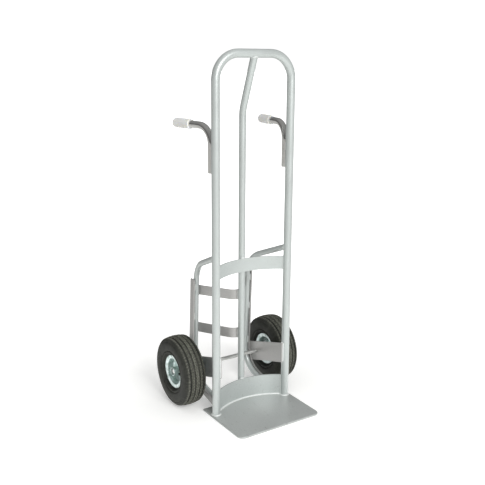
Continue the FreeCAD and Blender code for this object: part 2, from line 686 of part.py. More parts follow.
def rim_nuts():
    """Nuts on the rim bolts, behind the hub flange."""
    flats, height = RIM_BOLT_HEAD
    start = -FIT_GAP - RIM_SHEET - HUB_FLANGE_THICKNESS - height
    nuts = []
    for y, z in bolt_places():
        nut = hexagon(flats, height, Vector(start, y, z), 15)
        nuts.append(nut.cut(rod(start - 1, start + height + 1, RIM_BOLT_DIAMETER / 2 + FIT_GAP, y, z)))
    return Part.makeCompound(nuts)


def valve_stem():
    """Tube valve: a thick base from the inner tube out through the rim, then the slim stem."""
    root, way = valve_line()
    inward = 2 * INNER_TUBE_SEAT_GAP
    base = Part.makeCylinder(VALVE_BASE_DIAMETER / 2, inward + VALVE_BASE_REACH, root - way * inward, way)
    stem = Part.makeCylinder(VALVE_DIAMETER / 2, VALVE_LENGTH, root, way)
    return base.cut(inner_tube_section(0)).fuse(stem)


def valve_cap():
    """Screw cap over the end of the valve stem."""
    root, way = valve_line()
    start = root + way * (VALVE_LENGTH - VALVE_CAP_LENGTH + VALVE_CAP_END)
    cap = Part.makeCylinder(VALVE_CAP_DIAMETER / 2, VALVE_CAP_LENGTH, start, way)
    depth = VALVE_CAP_LENGTH - VALVE_CAP_END + FIT_GAP
    bore = Part.makeCylinder(VALVE_DIAMETER / 2 + FIT_GAP, depth, start, way)
    return cap.cut(bore)


# ---------------------------------------------------------------- assembly
def frame_nodes():
    """Name and solid of every piece of the frame."""
    loop = loop_path()
    loop_outside = rod_along(loop, RAIL_R)
    centre_outside = rod_along(centre_tube_path(), CENTRE_R)
    side = side_tube_path()
    side_outside = rod_along(side, SIDE_R)
    both_side_tubes = [side_outside, mirrored(side_outside)]
    side_tube = behind_back_plate(tube_along(side, SIDE_R, SIDE_TUBE_WALL).cut(loop_outside))
    skid = behind_back_plate(skid_bar().cut(side_outside))
    nodes = {
        "main_frame": loop_outside.cut(rod_along(loop, RAIL_R - RAIL_WALL)),
        "centre_tube": centre_outside.cut(rod_along(centre_tube_path(), CENTRE_R - CENTRE_TUBE_WALL))
        .cut(loop_outside),
        "upper_cross_bar": curved_bar(UPPER_BAR_TOP - UPPER_BAR_HEIGHT, UPPER_BAR_HEIGHT)
        .cut(loop_outside),
        "lower_back_plate": curved_bar(TOE_THICKNESS, BACK_PLATE_HEIGHT).cut(loop_outside),
        "toe_plate": toe_plate(),
        "axle": axle(),
    }
    for name, level in STRAP_LEVELS.items():
        nodes[name] = rear_strap(level, both_side_tubes)
    washer_end = INNER_WASHER_X + WASHER_THICKNESS
    spacer_r = SPACER_BORE_R + SPACER_WALL
    one_side = {
        "side_tube": side_tube,
        "skid_bar": skid,
        "axle_bracket": axle_bracket(),
        "handle_tube": handle_tube(),
        "grip": grip(),
        "axle_spacer": ring(SPACER_START, INNER_WASHER_X, spacer_r, SPACER_BORE_R, AXLE_Y, AXLE_Z),
        "inner_washer": ring(INNER_WASHER_X, washer_end, WASHER_DIAMETER / 2, SPACER_BORE_R, AXLE_Y, AXLE_Z),
        "retaining_ring": retaining_ring(),
    }
    for name, shape in one_side.items():
        nodes["right_" + name] = shape
        nodes["left_" + name] = mirrored(shape)
    return nodes


def wheel_nodes():
    """Name and solid of every piece of both wheels, in place on the axle."""
    pieces = {
        "tyre": tyre(),
        "inner_tube": inner_tube(),
        "outer_rim_half": outer_rim_half(),
        "inner_rim_half": inner_rim_half(),
        "hub": hub(),
        "outer_bearing": bearing(OUTER_BEARING_END - BEARING_WIDTH),
        "inner_bearing": bearing(-HUB_INNER_REACH),
        "rim_bolts": rim_bolts(),
        "rim_nuts": rim_nuts(),
        "valve_stem": valve_stem(),
        "valve_cap": valve_cap(),
    }
    nodes = {}
    for name, shape in pieces.items():
        shape.translate(Vector(WHEEL_X, AXLE_Y, AXLE_Z))
        nodes["right_" + name] = shape
        nodes["left_" + name] = mirrored(shape)
    return nodes


def main():
    """Write one STEP file per piece."""
    os.makedirs("parts", exist_ok=True)
    nodes = frame_nodes()
    nodes.update(wheel_nodes())
    for name, shape in nodes.items():
        whole(shape).exportStep("parts/" + name + ".step")


main()
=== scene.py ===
"""Looks of a two-wheel hand truck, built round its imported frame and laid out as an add-on.

Lengths are metres. X runs across the truck, -Y towards the toe plate, +Y towards the wheels and
Z up. The origin is on the floor, under the middle of the line between the two uprights.
"""

import json
import math
from functools import partial

import bpy
import numpy as np
from mathutils import Matrix, Vector


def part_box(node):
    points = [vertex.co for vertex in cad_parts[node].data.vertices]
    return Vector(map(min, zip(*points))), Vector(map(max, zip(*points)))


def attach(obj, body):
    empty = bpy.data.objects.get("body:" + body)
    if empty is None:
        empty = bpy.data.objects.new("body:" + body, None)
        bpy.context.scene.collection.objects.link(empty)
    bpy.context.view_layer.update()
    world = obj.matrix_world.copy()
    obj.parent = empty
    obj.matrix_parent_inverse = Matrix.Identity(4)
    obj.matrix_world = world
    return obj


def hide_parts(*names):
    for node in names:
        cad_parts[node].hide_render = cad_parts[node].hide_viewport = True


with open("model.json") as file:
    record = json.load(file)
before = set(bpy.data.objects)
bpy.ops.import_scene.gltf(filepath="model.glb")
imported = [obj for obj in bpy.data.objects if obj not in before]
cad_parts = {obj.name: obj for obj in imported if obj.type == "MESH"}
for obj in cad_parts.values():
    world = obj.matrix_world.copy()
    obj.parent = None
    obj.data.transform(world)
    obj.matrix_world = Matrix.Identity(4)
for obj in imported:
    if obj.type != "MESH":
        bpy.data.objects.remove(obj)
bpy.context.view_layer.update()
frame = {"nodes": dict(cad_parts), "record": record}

bl_info = {
    "name": "Hand Truck Finish",
    "version": (1, 0, 0),
    "blender": (4, 5, 0),
    "location": "3D View > Sidebar > Hand Truck",
    "description": "Builds the tyres, rims, grips, welds, finishes and studio of a hand truck",
    "category": "Object",
}

MM = 0.001
SIDES = {"left": -1, "right": 1}


def corners(node):
    """Lowest and highest corner of a CAD node as arrays."""
    low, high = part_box(node)
    return np.array(low), np.array(high)


# ---------------------------------------------------------------- places, read from the frame
FRAME_LOW, FRAME_HIGH = corners("main_frame")
RAIL_R = (FRAME_HIGH[1] - FRAME_LOW[1]) / 2
RAIL_X = FRAME_HIGH[0] - RAIL_R
LOOP_Z = FRAME_HIGH[2] - RAIL_R
PLATE_TOP = corners("toe_plate")[1][2]
CENTRE_HIGH = corners("centre_tube")[1]
CENTRE_R = CENTRE_HIGH[0]
CENTRE_Y = CENTRE_HIGH[1] - CENTRE_R

# the bowed bars: their rear face passes through the middle of the rear and the point where it meets
# the upright, and their front face shares its centre
BAR_LOW, BAR_HIGH = corners("lower_back_plate")
BAR_END_REAR = math.sqrt(RAIL_R ** 2 - (RAIL_X - BAR_HIGH[0]) ** 2)
BAR_BOW = BAR_HIGH[1] - BAR_END_REAR
BAR_REAR_R = (BAR_HIGH[0] ** 2 + BAR_BOW ** 2) / (2 * BAR_BOW)
BAR_CENTRE_Y = BAR_HIGH[1] - BAR_REAR_R
BAR_END_X = RAIL_X - math.sqrt(RAIL_R ** 2 - BAR_LOW[1] ** 2)
BAR_FRONT_R = math.hypot(BAR_END_X, BAR_LOW[1] - BAR_CENTRE_Y)

WHEEL_LOW, WHEEL_HIGH = corners("right_tyre")
WHEEL_CENTRE = (WHEEL_LOW + WHEEL_HIGH) / 2
TYRE_R = (WHEEL_HIGH[2] - WHEEL_LOW[2]) / 2

# the bent side tubes and the bars that they carry
SIDE_TUBE_R = 11.1 * MM          # centre lines and radius as designed: boxes don't show them
SIDE_X = corners("right_side_tube")[0][0] + SIDE_TUBE_R
SIDE_JOIN_Z = 609 * MM
SIDE_TOP_BEND = np.array([SIDE_X, 207 * MM, 526 * MM])
SIDE_LOW_BEND = np.array([SIDE_X, 230 * MM, 67 * MM])
HANDLE_R = RAIL_X - corners("right_handle_tube")[0][0]
CENTRE_BEND_Z = 1109 * MM


# ---------------------------------------------------------------- settings
def length(name, description, default):
    """A length property, in metres."""
    return bpy.props.FloatProperty(name=name, description=description, default=default, min=0.0,
                                   precision=5, subtype="DISTANCE", unit="LENGTH")


def hex_colour(name, description, default):
    """A colour property, as an sRGB hex value."""
    return bpy.props.StringProperty(name=name, description=description, default=default)


class TyreSettings(bpy.types.PropertyGroup):
    """Sizes of the tread and sidewall."""

    teeth: bpy.props.IntProperty(name="Teeth", description="Saw teeth round each rib of the tread",
                                 default=70, min=12)
    tooth_depth: length("Tooth depth", "How far each saw tooth cuts into its rib", 2.6 * MM)
    groove_width: length("Groove width", "Width of the grooves round the tread", 5.0 * MM)
    groove_depth: length("Groove depth", "Depth of the grooves round the tread", 7.0 * MM)
    notch_depth: length("Notch depth", "Depth of the slots across ribs and shoulders", 3.0 * MM)


class WheelSettings(bpy.types.PropertyGroup):
    """Sizes of the pressed rims, hubs and fasteners."""

    sheet: length("Rim sheet", "Thickness of the pressed rim halves", 2.3 * MM)
    hub_radius: length("Hub radius", "Outside radius of the hub", 17 * MM)
    hub_bore: length("Hub pocket radius", "Radius of the pockets that hold the bearings", 14.35 * MM)
    bolt_flats: length("Bolt flats", "Width across the flats of bolts and nuts", 11.1 * MM)
    bolt_height: length("Bolt height", "Height of bolt heads and nuts", 4.2 * MM)
    bolt_shank: length("Bolt shank", "Diameter of the rim bolts", 6.35 * MM)
    bolt_circle: length("Bolt circle", "Diameter of the circle that the bolts stand on", 62 * MM)


class GripSettings(bpy.types.PropertyGroup):
    """Sizes of the soft sleeves on the handles."""

    rings: bpy.props.IntProperty(name="Rings", description="Shallow rings along the sleeve",
                                 default=7, min=0)
    ring_depth: length("Ring depth", "Depth of each ring", 0.5 * MM)
    mouth: length("Mouth", "Length of the sleeve's rounded mouth", 4 * MM)


class WeldSettings(bpy.types.PropertyGroup):
    """Sizes of the weld beads."""

    main_bead: length("Main bead", "Radius of the beads on the toe plate", 4.3 * MM)
    small_bead: length("Small bead", "Radius of the beads between tubes and bars", 2.8 * MM)
    ripple: length("Ripple", "Distance from one ripple of a bead to the next", 4 * MM)


class ColourSettings(bpy.types.PropertyGroup):
    """Colours of the finishes."""

    enamel: hex_colour("Frame enamel", "Silver-grey enamel of tubes and curved bars", "#C9CFCD")
    # plate and bar colours are darker than the frame's as painted shade, and the weld colour is paler as a
    # painted highlight
    plate: hex_colour("Plate enamel", "Silver-grey enamel of the toe plate", "#C0C4C2")
    bar: hex_colour("Bar enamel", "Silver-grey enamel of straps, brackets and skid bars", "#B8B7B5")
    weld: hex_colour("Painted weld", "Enamel where it lies on a weld", "#F2F5F3")
    zinc: hex_colour("Zinc plate", "Bright zinc of the rims and hubs", "#E0F4EC")
    handle: hex_colour("Plated handle", "Nickel and chrome plate of the handles", "#E4E3E0")
    vinyl: hex_colour("Grip vinyl", "Milky vinyl of the grips", "#FCFBF6")
    rubber: hex_colour("Tyre rubber", "Black rubber of the tyres", "#1D1F1A")


class StudioSettings(bpy.types.PropertyGroup):
    """Camera and light."""

    camera_place: bpy.props.FloatVectorProperty(
        name="Camera place", description="Where the camera stands", size=3, subtype="TRANSLATION",
        unit="LENGTH", default=(-1.4272, -2.1015, 1.2922))
    camera_yaw: bpy.props.FloatProperty(name="Camera yaw", description="Turn from +Y towards +X",
                                        default=0.5817, subtype="ANGLE", unit="ROTATION")
    camera_pitch: bpy.props.FloatProperty(name="Camera pitch", description="Tilt downwards",
                                          default=0.250, subtype="ANGLE", unit="ROTATION")
    camera_roll: bpy.props.FloatProperty(name="Camera roll", description="Roll about its own view",
                                         default=0.0065, subtype="ANGLE", unit="ROTATION")
    focal_length: bpy.props.FloatProperty(name="Focal length", description="In millimetres",
                                          default=53.83, subtype="DISTANCE_CAMERA")
    key_power: bpy.props.FloatProperty(name="Key light", description="Power of the large front light",
                                       default=95.0, subtype="POWER", unit="POWER")
    surround: bpy.props.FloatProperty(name="Surround", description="Strength of the light from all round",
                                      default=0.3, min=0.0)


SETTINGS = {
    "hand_truck_tyres": TyreSettings,
    "hand_truck_wheels": WheelSettings,
    "hand_truck_grips": GripSettings,
    "hand_truck_welds": WeldSettings,
    "hand_truck_colours": ColourSettings,
    "hand_truck_studio": StudioSettings,
}


# ---------------------------------------------------------------- shells: vertices and lists of faces
def grid_shell(points, wrap_rows=False, capped=False):
    """Quads between the neighbours of a rows x columns grid of points, closed round its columns.

    wrap_rows joins the last row to the first. capped closes the first and last row, each with a
    fan round that row's own middle point.
    """
    rows, columns = points.shape[:2]
    row, column = np.meshgrid(np.arange(rows if wrap_rows else rows - 1), np.arange(columns),
                              indexing="ij")
    next_row = (row + 1) % rows
    next_column = (column + 1) % columns
    quads = np.stack([row * columns + column, row * columns + next_column,
                      next_row * columns + next_column, next_row * columns + column], axis=-1)
    vertices = points.reshape(-1, 3)
    faces = [quads.reshape(-1, 4)]
    if capped:
        ring = np.arange(columns)
        ring_after = (ring + 1) % columns
        middles = points[[0, -1]].mean(axis=1)
        first_middle = np.full(columns, len(vertices))
        last_start = (rows - 1) * columns
        faces.append(np.stack([first_middle, ring_after, ring], axis=-1))
        faces.append(np.stack([first_middle + 1, last_start + ring, last_start + ring_after], axis=-1))
        vertices = np.concatenate([vertices, middles])
    return outward(vertices, faces)


def outward(vertices, faces):
    """The shell with its faces turned outwards: the sum of p . (q x r) over its triangles is positive."""
    total = 0.0
    for part in faces:
        for corner in range(1, part.shape[1] - 1):
            first, second, third = (vertices[part[:, k]] for k in (0, corner, corner + 1))
            total += np.einsum("ij,ij->", first, np.cross(second, third))
    if total < 0:
        faces = [part[:, ::-1] for part in faces]
    return vertices, faces


def joined(shells):
    """One shell from several, with each one's face numbers moved on past the vertices before it."""
    vertices = np.concatenate([shell[0] for shell in shells])
    faces = []
    count = 0
    for own_vertices, own_faces in shells:
        faces += [part + count for part in own_faces]
        count += len(own_vertices)
    return vertices, faces


def mirrored(shell):
    """The shell on the other side of the truck, with its faces turned back outwards."""
    vertices, faces = shell
    return vertices * np.array([-1, 1, 1]), [part[:, ::-1] for part in faces]


def rounded_outline(points, radii, steps=5):
    """Closed outline through corners, each rounded by an arc.

    The arc's centre lies on the corner's bisector at radius / sin(half angle), and the arc runs
    between the two points that are radius / tan(half angle) from the corner.
    """
    points = np.array(points, float)
    pieces = []
    for before, corner, after, radius in zip(np.roll(points, 1, axis=0), points,
                                             np.roll(points, -1, axis=0), radii):
        back = (before - corner) / np.linalg.norm(before - corner)
        ahead = (after - corner) / np.linalg.norm(after - corner)
        half = math.acos(np.clip(back @ ahead, -1, 1)) / 2
        middle = (back + ahead) / np.linalg.norm(back + ahead)
        centre = corner + middle * radius / math.sin(half)
        start = corner + back * radius / math.tan(half) - centre
        end = corner + ahead * radius / math.tan(half) - centre
        first = math.atan2(start[1], start[0])
        sweep = (math.atan2(end[1], end[0]) - first + math.pi) % (2 * math.pi) - math.pi
        angle = first + sweep * np.linspace(0, 1, steps)
        pieces.append(centre + radius * np.stack([np.cos(angle), np.sin(angle)], axis=-1))
    return np.concatenate(pieces)


def smooth_line(points, steps):
    """Catmull-Rom spline through the points: on each span, the cubic whose slope at a point is half
    the way from the point before it to the point after it."""
    points = np.array(points, float)
    padded = np.concatenate([2 * points[:1] - points[1:2], points, 2 * points[-1:] - points[-2:-1]])
    before, start, end, after = (padded[k:len(padded) - 3 + k][:, None] for k in range(4))
    t = np.linspace(0, 1, steps, endpoint=False)[None, :, None]
    line = 0.5 * (2 * start + (end - before) * t + (2 * before - 5 * start + 4 * end - after) * t ** 2
                  + (3 * start - before - 3 * end + after) * t ** 3)
    return np.concatenate([line.reshape(-1, points.shape[1]), points[-1:]])


def turned(outline, steps, centre, axis=(1.0, 0.0, 0.0), closed=True):
    """Surface of an (along, radius) outline turned about an axis through centre.

    point = centre + axis * along + (side * cos a + other * sin a) * radius. An open outline is
    capped at both ends.
    """
    axis = np.array(axis) / np.linalg.norm(axis)
    side = np.cross(axis, [0.0, 0.0, 1.0])
    side /= np.linalg.norm(side)
    other = np.cross(axis, side)
    angle = np.linspace(0, 2 * np.pi, steps, endpoint=False)
    spokes = np.cos(angle)[:, None] * side + np.sin(angle)[:, None] * other
    along = outline[:, 0][:, None, None]
    radius = outline[:, 1][:, None, None]
    points = np.array(centre) + axis * along + spokes[None] * radius
    return grid_shell(points, wrap_rows=closed, capped=not closed)


def add_piece(name, shell, slot, body, replaced=(), sharp_angle=38):
    """Puts a shell into the scene as a piece in its slot's finish, riding on a body."""
    vertices, faces = shell
    mesh = bpy.data.meshes.new(name)
    mesh.from_pydata(vertices.tolist(), [], [face for part in faces for face in part.tolist()])
    mesh.update()
    mesh.shade_smooth()
    mesh.set_sharp_from_angle(angle=math.radians(sharp_angle))
    mesh.materials.append(finish(slot))
    piece = bpy.data.objects.new(name, mesh)
    bpy.context.scene.collection.objects.link(piece)
    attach(piece, body)
    RECORD_SLOTS.get(slot, slot)
    if replaced:
        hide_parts(*replaced)
    return piece


# ---------------------------------------------------------------- tyre
TREAD_HALF = 33.5 * MM           # from the middle of the tread to its edge
TREAD_DROP = 4.4 * MM            # the tread's edge lies this much lower than its middle
GROOVES = (-26.0, -9.5, 9.5, 26.0)               # mm from the middle of the tread
THIN_GROOVES = (-17.75, 0.0, 17.75)
WIDE_SHARES = (1.0, 1.0, 1.0, 0.9)               # of a groove's width and depth, the saw and the notch
THIN_SHARES = (1 / 3, 0.5, 0.55, 0.7)
DRAWN_TYRE_R = 134 * MM          # the tyre's radius for which the next two outlines are drawn
SIDEWALL = (                     # (x, radius) in mm, from the tread's edge to the bead
    (34.2, 129.0), (37.6, 125.6), (40.3, 121.0), (41.6, 117.4), (40.4, 115.6), (42.6, 112.5), (44.6, 105.0),
    (45.0, 97.0), (44.4, 89.0), (42.8, 83.0), (39.4, 80.6), (41.6, 78.4), (42.4, 75.4), (41.0, 72.2),
    (36.0, 70.4), (32.0, 68.6), (30.2, 65.8), (29.2, 62.0), (28.2, 54.0), (27.9, 51.2), (20.0, 51.2),
)
CAVITY = ((20.0, 65.0), (33.0, 78.0), (37.0, 97.0), (33.0, 113.0), (18.0, 120.4), (0.0, 123.0))
SHOULDER_R = 125 * MM            # radius at which the slots cut deepest into the shoulder
SHOULDER_FADE = 9 * MM           # distance over which they run out
TOOTH_SAMPLES = 8
SLOT_SHARE = 0.25                # share of each tooth's length that a slot takes


def tread_rows(settings):
    """Rows across the tread, from -X to +X, as (x, radius, saw, notch).

    The tread's surface is TYRE_R - TREAD_DROP * (x / TREAD_HALF)^2. Each groove gives four rows, two
    on its edges and two on its floor. saw is the way that a row moves with the saw teeth, and notch
    is how much it drops in the slots that cut the ribs and shoulders into blocks.
    """
    rows = []
    for place in sorted(GROOVES + THIN_GROOVES):
        width, depth, saw, notch = WIDE_SHARES if place in GROOVES else THIN_SHARES
        half = settings.groove_width / 2 * width
        depth *= settings.groove_depth
        middle = place * MM
        slope = half / 3
        rows += [(middle - half - slope, 0.0, -saw, notch), (middle - half, depth, -saw, 0.0),
                 (middle + half, depth, saw, 0.0), (middle + half + slope, 0.0, saw, notch)]
    edge = [(TREAD_HALF - 1.5 * MM, 0.0, 0.0, 0.4), (TREAD_HALF, 0.0, 0.0, 1.0)]
    rows = np.array([(-x, depth, saw, notch) for x, depth, saw, notch in reversed(edge)] + rows + edge)
    rows[:, 1] = TYRE_R - TREAD_DROP * (rows[:, 0] / TREAD_HALF) ** 2 - rows[:, 1]
    return rows


def tyre_shell(settings):
    """Tyre: a closed section turned about X, whose rows follow the tread pattern.

    With p the share of a tooth that an angle has passed, a row moves along x by saw * tooth depth * p,
    and drops by notch * notch depth where p is under SLOT_SHARE.
    """
    right = smooth_line(SIDEWALL, 2) * MM
    fade = np.clip(1 - np.abs(right[:, 1] - SHOULDER_R) / SHOULDER_FADE, 0, 1)
    right = np.column_stack([right, np.zeros(len(right)), fade])
    right[:, 1] += TYRE_R - DRAWN_TYRE_R
    inside = np.pad(smooth_line(CAVITY, 2) * MM, ((0, 0), (0, 2)))
    flip = np.array([-1, 1, 1, 1])
    section = np.concatenate([tread_rows(settings), right, inside, (inside * flip)[-2::-1],
                              (right * flip)[::-1]])
    x, radius, saw, notch = section.T[:, :, None]
    share = np.tile(np.arange(TOOTH_SAMPLES) / TOOTH_SAMPLES, settings.teeth)
    angle = np.linspace(0, 2 * np.pi, len(share), endpoint=False)
    radius = radius - notch * np.where(share < SLOT_SHARE, settings.notch_depth, 0.0)
    points = np.stack([x + saw * settings.tooth_depth * share, radius * np.cos(angle),
                       radius * np.sin(angle)], axis=-1)
    return grid_shell(points + WHEEL_CENTRE, wrap_rows=True)


# ---------------------------------------------------------------- rim, hub and fasteners
# all in mm: places along X are measured from the wheel's middle plane
RIM_START = 0.05
RIM_BORE = 17.1
DISH_R = 42.0
BARREL = (4.0, 28.0)
BARREL_R = 50.95
RIM_LIP = (                      # (x, radius, corner radius)
    (30.0, 62.5, 1.5), (32.0, 64.0, 0.8), (33.0, 62.2, 0.5), (32.2, 61.4, 0.4),
)
HUB = (-30.0, 36.0)
HUB_THROAT_R = 11.5
BEARING_STOPS = (-18.8, 15.8)
FLANGE = (-5.4, -2.4)
FLANGE_R = 40.0
SHANK_START = -16.5
SHANK_LENGTH = 19.0
BOLT_WASHER = 1.0
WASHER_SHARE = 0.62              # a washer's radius as a share of the bolt's flats
BOLT_SPIN, NUT_SPIN = 0.2, 0.5   # radians


def rim_shell(settings):
    """Pressed rim half: an outline of the sheet's tyre side, and back along its bare side."""
    sheet = settings.sheet / MM
    start, end = BARREL
    outline = np.array([
        (RIM_START, RIM_BORE, 0.3), (RIM_START, DISH_R, 4.0), (start, BARREL_R, 4.0), (end, BARREL_R, 3.0),
        *RIM_LIP, (end + sheet, BARREL_R - sheet, 3.0), (start + sheet / 2, BARREL_R - sheet, 3.0),
        (RIM_START + sheet, DISH_R, 3.0), (RIM_START + sheet, RIM_BORE, 0.3),
    ])
    return turned(rounded_outline(outline[:, :2], outline[:, 2]) * MM, 128, WHEEL_CENTRE)


def hub_shell(settings):
    """Hub: an outline with two bearing pockets and the flange, turned about X."""
    body, pocket = settings.hub_radius / MM, settings.hub_bore / MM
    (inner_end, outer_end), (inner_stop, outer_stop) = HUB, BEARING_STOPS
    outline = np.array([
        (inner_end, body, 1.0), (FLANGE[0], body, 2.0), (FLANGE[0], FLANGE_R, 0.6),
        (FLANGE[1], FLANGE_R, 0.6), (FLANGE[1], body, 0.1), (outer_end, body, 1.0),
        (outer_end, pocket, 0.7), (outer_stop, pocket, 0.2), (outer_stop, HUB_THROAT_R, 0.3),
        (inner_stop, HUB_THROAT_R, 0.3), (inner_stop, pocket, 0.2), (inner_end, pocket, 0.7),
    ])
    return turned(rounded_outline(outline[:, :2], outline[:, 2]) * MM, 96, WHEEL_CENTRE)


def hexagon_shell(start, height, flats, spin):
    """Chamfered hexagon along +X. Its radius at an angle a is flats / 2 / cos(a folded to +-30 degrees),
    and its end is cut back by a 30 degree cone outside a circle of 0.95 * flats / 2."""
    angle = np.linspace(0, 2 * np.pi, 48, endpoint=False)
    folded = (angle + np.pi / 6) % (np.pi / 3) - np.pi / 6
    radius = flats / 2 / np.cos(folded)
    circle = np.full_like(radius, 0.95 * flats / 2)
    cut = (radius - circle) * math.tan(math.radians(30))
    rings = [(np.zeros_like(radius), circle), (np.zeros_like(radius), radius),
             (height - cut, radius), (np.full_like(radius, height), circle)]
    turn = angle + spin
    points = np.stack([np.stack([along, r * np.cos(turn), r * np.sin(turn)], axis=-1)
                       for along, r in rings])
    return grid_shell(points + start, capped=True)


def bolt_points(settings):
    """Centres of the rim bolts on their circle, in the plane between the rim halves."""
    angle = np.radians(45 + 90 * np.arange(4))
    radius = settings.bolt_circle / 2
    offsets = np.stack([np.zeros(4), radius * np.cos(angle), radius * np.sin(angle)], axis=-1)
    return WHEEL_CENTRE + offsets


def bolts_shell(settings):
    """Bolt heads on the outside of the rim, each with its washer and its shank through the flange."""
    washer_x = RIM_START * MM + settings.sheet
    head_x = washer_x + BOLT_WASHER * MM
    rim = settings.bolt_flats * WASHER_SHARE
    disc = rounded_outline([(0, 0.1 * MM), (0, rim), (BOLT_WASHER * MM, rim), (BOLT_WASHER * MM, 0.1 * MM)],
                           np.array([0.01, 0.3, 0.3, 0.01]) * MM)
    span, thick = SHANK_LENGTH * MM, settings.bolt_shank / 2
    bevel = thick * 0.2
    shank = np.array([(0, thick - bevel), (bevel, thick), (span - bevel, thick), (span, thick - bevel)])
    shells = []
    for point in bolt_points(settings):
        shells.append(hexagon_shell(point + [head_x, 0, 0], settings.bolt_height, settings.bolt_flats,
                                    BOLT_SPIN))
        shells.append(turned(disc, 32, point + [washer_x, 0, 0]))
        shells.append(turned(shank, 24, point + [SHANK_START * MM, 0, 0], closed=False))
    return joined(shells)


def nuts_shell(settings):
    """Nuts behind the hub's flange."""
    start = np.array([FLANGE[0] * MM - settings.bolt_height, 0, 0])
    return joined([hexagon_shell(point + start, settings.bolt_height, settings.bolt_flats, NUT_SPIN)
                   for point in bolt_points(settings)])


# ---------------------------------------------------------------- grip
GRIP_CLEARANCE = 0.05 * MM       # between the sleeve and its tube
LIP = 1.1 * MM                   # thickness of the sleeve at its mouth
RINGS_START, RINGS_END = 8 * MM, 17 * MM         # from the mouth, and from the closed end
NOSE, NOSE_FALL = 7.5 * MM, 6 * MM               # length of the rounded end, and how much it narrows
DIMPLE = ((0.1, 6.0), (0.8, 3.5), (1.1, 0.5))    # (from the closed end, radius) in mm
END_WALL = 4 * MM


def grip_axis(node):
    """Middle of its mouth, outward direction, length and radius of a grip's CAD solid.

    The direction is the long axis of its vertices, by singular value decomposition.
    """
    mesh = frame["nodes"][node].data
    points = np.empty(len(mesh.vertices) * 3, np.float32)
    mesh.vertices.foreach_get("co", points)
    points = points.reshape(-1, 3).astype(float)
    low, high = corners(node)
    middle = (low + high) / 2
    direction = np.linalg.svd(points - points.mean(axis=0), full_matrices=False)[2][0]
    direction[2] = 0.0
    direction *= np.sign(direction[1]) / np.linalg.norm(direction)
    along = (points - middle) @ direction
    return middle + direction * along.min(), direction, np.ptp(along), (high[2] - low[2]) / 2


def grip_shell(node, settings):
    """Soft sleeve: its mouth widens from a thin lip as a quarter ellipse, then comes the ringed stretch
    of radius - ring depth * (1 - cos) / 2, and a closed end, also a quarter ellipse, with a dimple."""
    start, direction, span, body = grip_axis(node)
    bore = HANDLE_R + GRIP_CLEARANCE
    lip = bore + LIP
    angle = np.linspace(0, np.pi / 2, 14)
    mouth = np.column_stack([settings.mouth * (1 - np.cos(angle)), lip + (body - lip) * np.sin(angle)])
    ringed = np.linspace(RINGS_START, span - RINGS_END, 90)
    wave = np.cos(2 * np.pi * settings.rings * (ringed - ringed[0]) / np.ptp(ringed))
    middle = np.column_stack([ringed, body - settings.ring_depth * (1 - wave) / 2])
    end = np.column_stack([span - NOSE * (1 - np.sin(angle)), body - NOSE_FALL * (1 - np.cos(angle))])
    dimple = np.array(DIMPLE) * [-MM, MM] + [span, 0]
    inside = np.array([(span - END_WALL, 0.5 * MM), (span - END_WALL, bore), (0.5 * MM, bore),
                       (0.1 * MM, bore + 0.4 * MM)])
    outline = np.concatenate([inside, mouth, middle, end, dimple])
    return turned(outline, 72, start, direction, closed=False)


# ---------------------------------------------------------------- welds
POINTS_A_RIPPLE = 5              # points along a bead's path for each of its ripples
BEAD_INSET = 1.0 * MM            # how far upright beads stop short of a bar's edge
BEAD_SIDES = 12
PLATE_REACH = 0.985              # share of the back plate's front that its bead runs along
PLATE_REAR_REACH = 0.72          # and of its rear
TUBE_FOOT_BEAD = ((24.0, 0.0), (62.0, 4.0))      # (y, above the plate) in mm, of its two ends
TUBE_FOOT_SIDE = 8 * MM          # from the tube's middle
POST_BEAD = (6.6 * MM, 1.2 * MM)                 # from the truck's middle, and behind the bar
SADDLE_BEAD = (0.72, 1.28)       # half turns, where the bead over a bar's top starts and ends
STRAP_BEADS = ((1.0, 0.5), (2.4, 7.0))           # mm inwards and forwards from a strap's end
BRACKET_BEADS = ((0.0, 0.3), (13.0, 0.8))        # mm behind a bracket's front end, and off its face
BRACKET_FALL = math.tan(math.radians(17))
BRACKET_FRONT = 79.6 * MM        # height of a bracket's front end, measured upright
LEG_BEADS = ((2.0, 32.0), (62.0, 92.0))          # mm above the end of a handle's leg
LEG_BEAD_SIDE = 6.2 * MM         # from the middle of the leg
SKID_BEADS = (170.0, 320.0, 440.0)               # mm above the floor
SKID_BEAD_HALF = 14 * MM
SKID_BEAD_PLACE = (2.0 * MM, 6.4 * MM)           # inside the skid bar's face, and beside its middle


def line_path(start, end, step):
    """Points from start to end, about a step apart."""
    start, end = np.array(start, float), np.array(end, float)
    count = max(4, round(np.linalg.norm(end - start) / step))
    return start + (end - start) * np.linspace(0, 1, count)[:, None]


def arc_path(centre, radius, first, last, height, step):
    """Level arc: x = cx + radius sin a, y = cy + radius cos a."""
    count = max(4, round(radius * abs(last - first) / step))
    angle = np.linspace(first, last, count)
    return np.stack([centre[0] + radius * np.sin(angle), centre[1] + radius * np.cos(angle),
                     np.full_like(angle, height)], axis=-1)


def ring_path(centre, radius, height, step):
    """Level ring, open by one step."""
    count = round(2 * np.pi * radius / step)
    return arc_path(centre, radius, 0.0, 2 * np.pi * (1 - 1 / count), height, step)


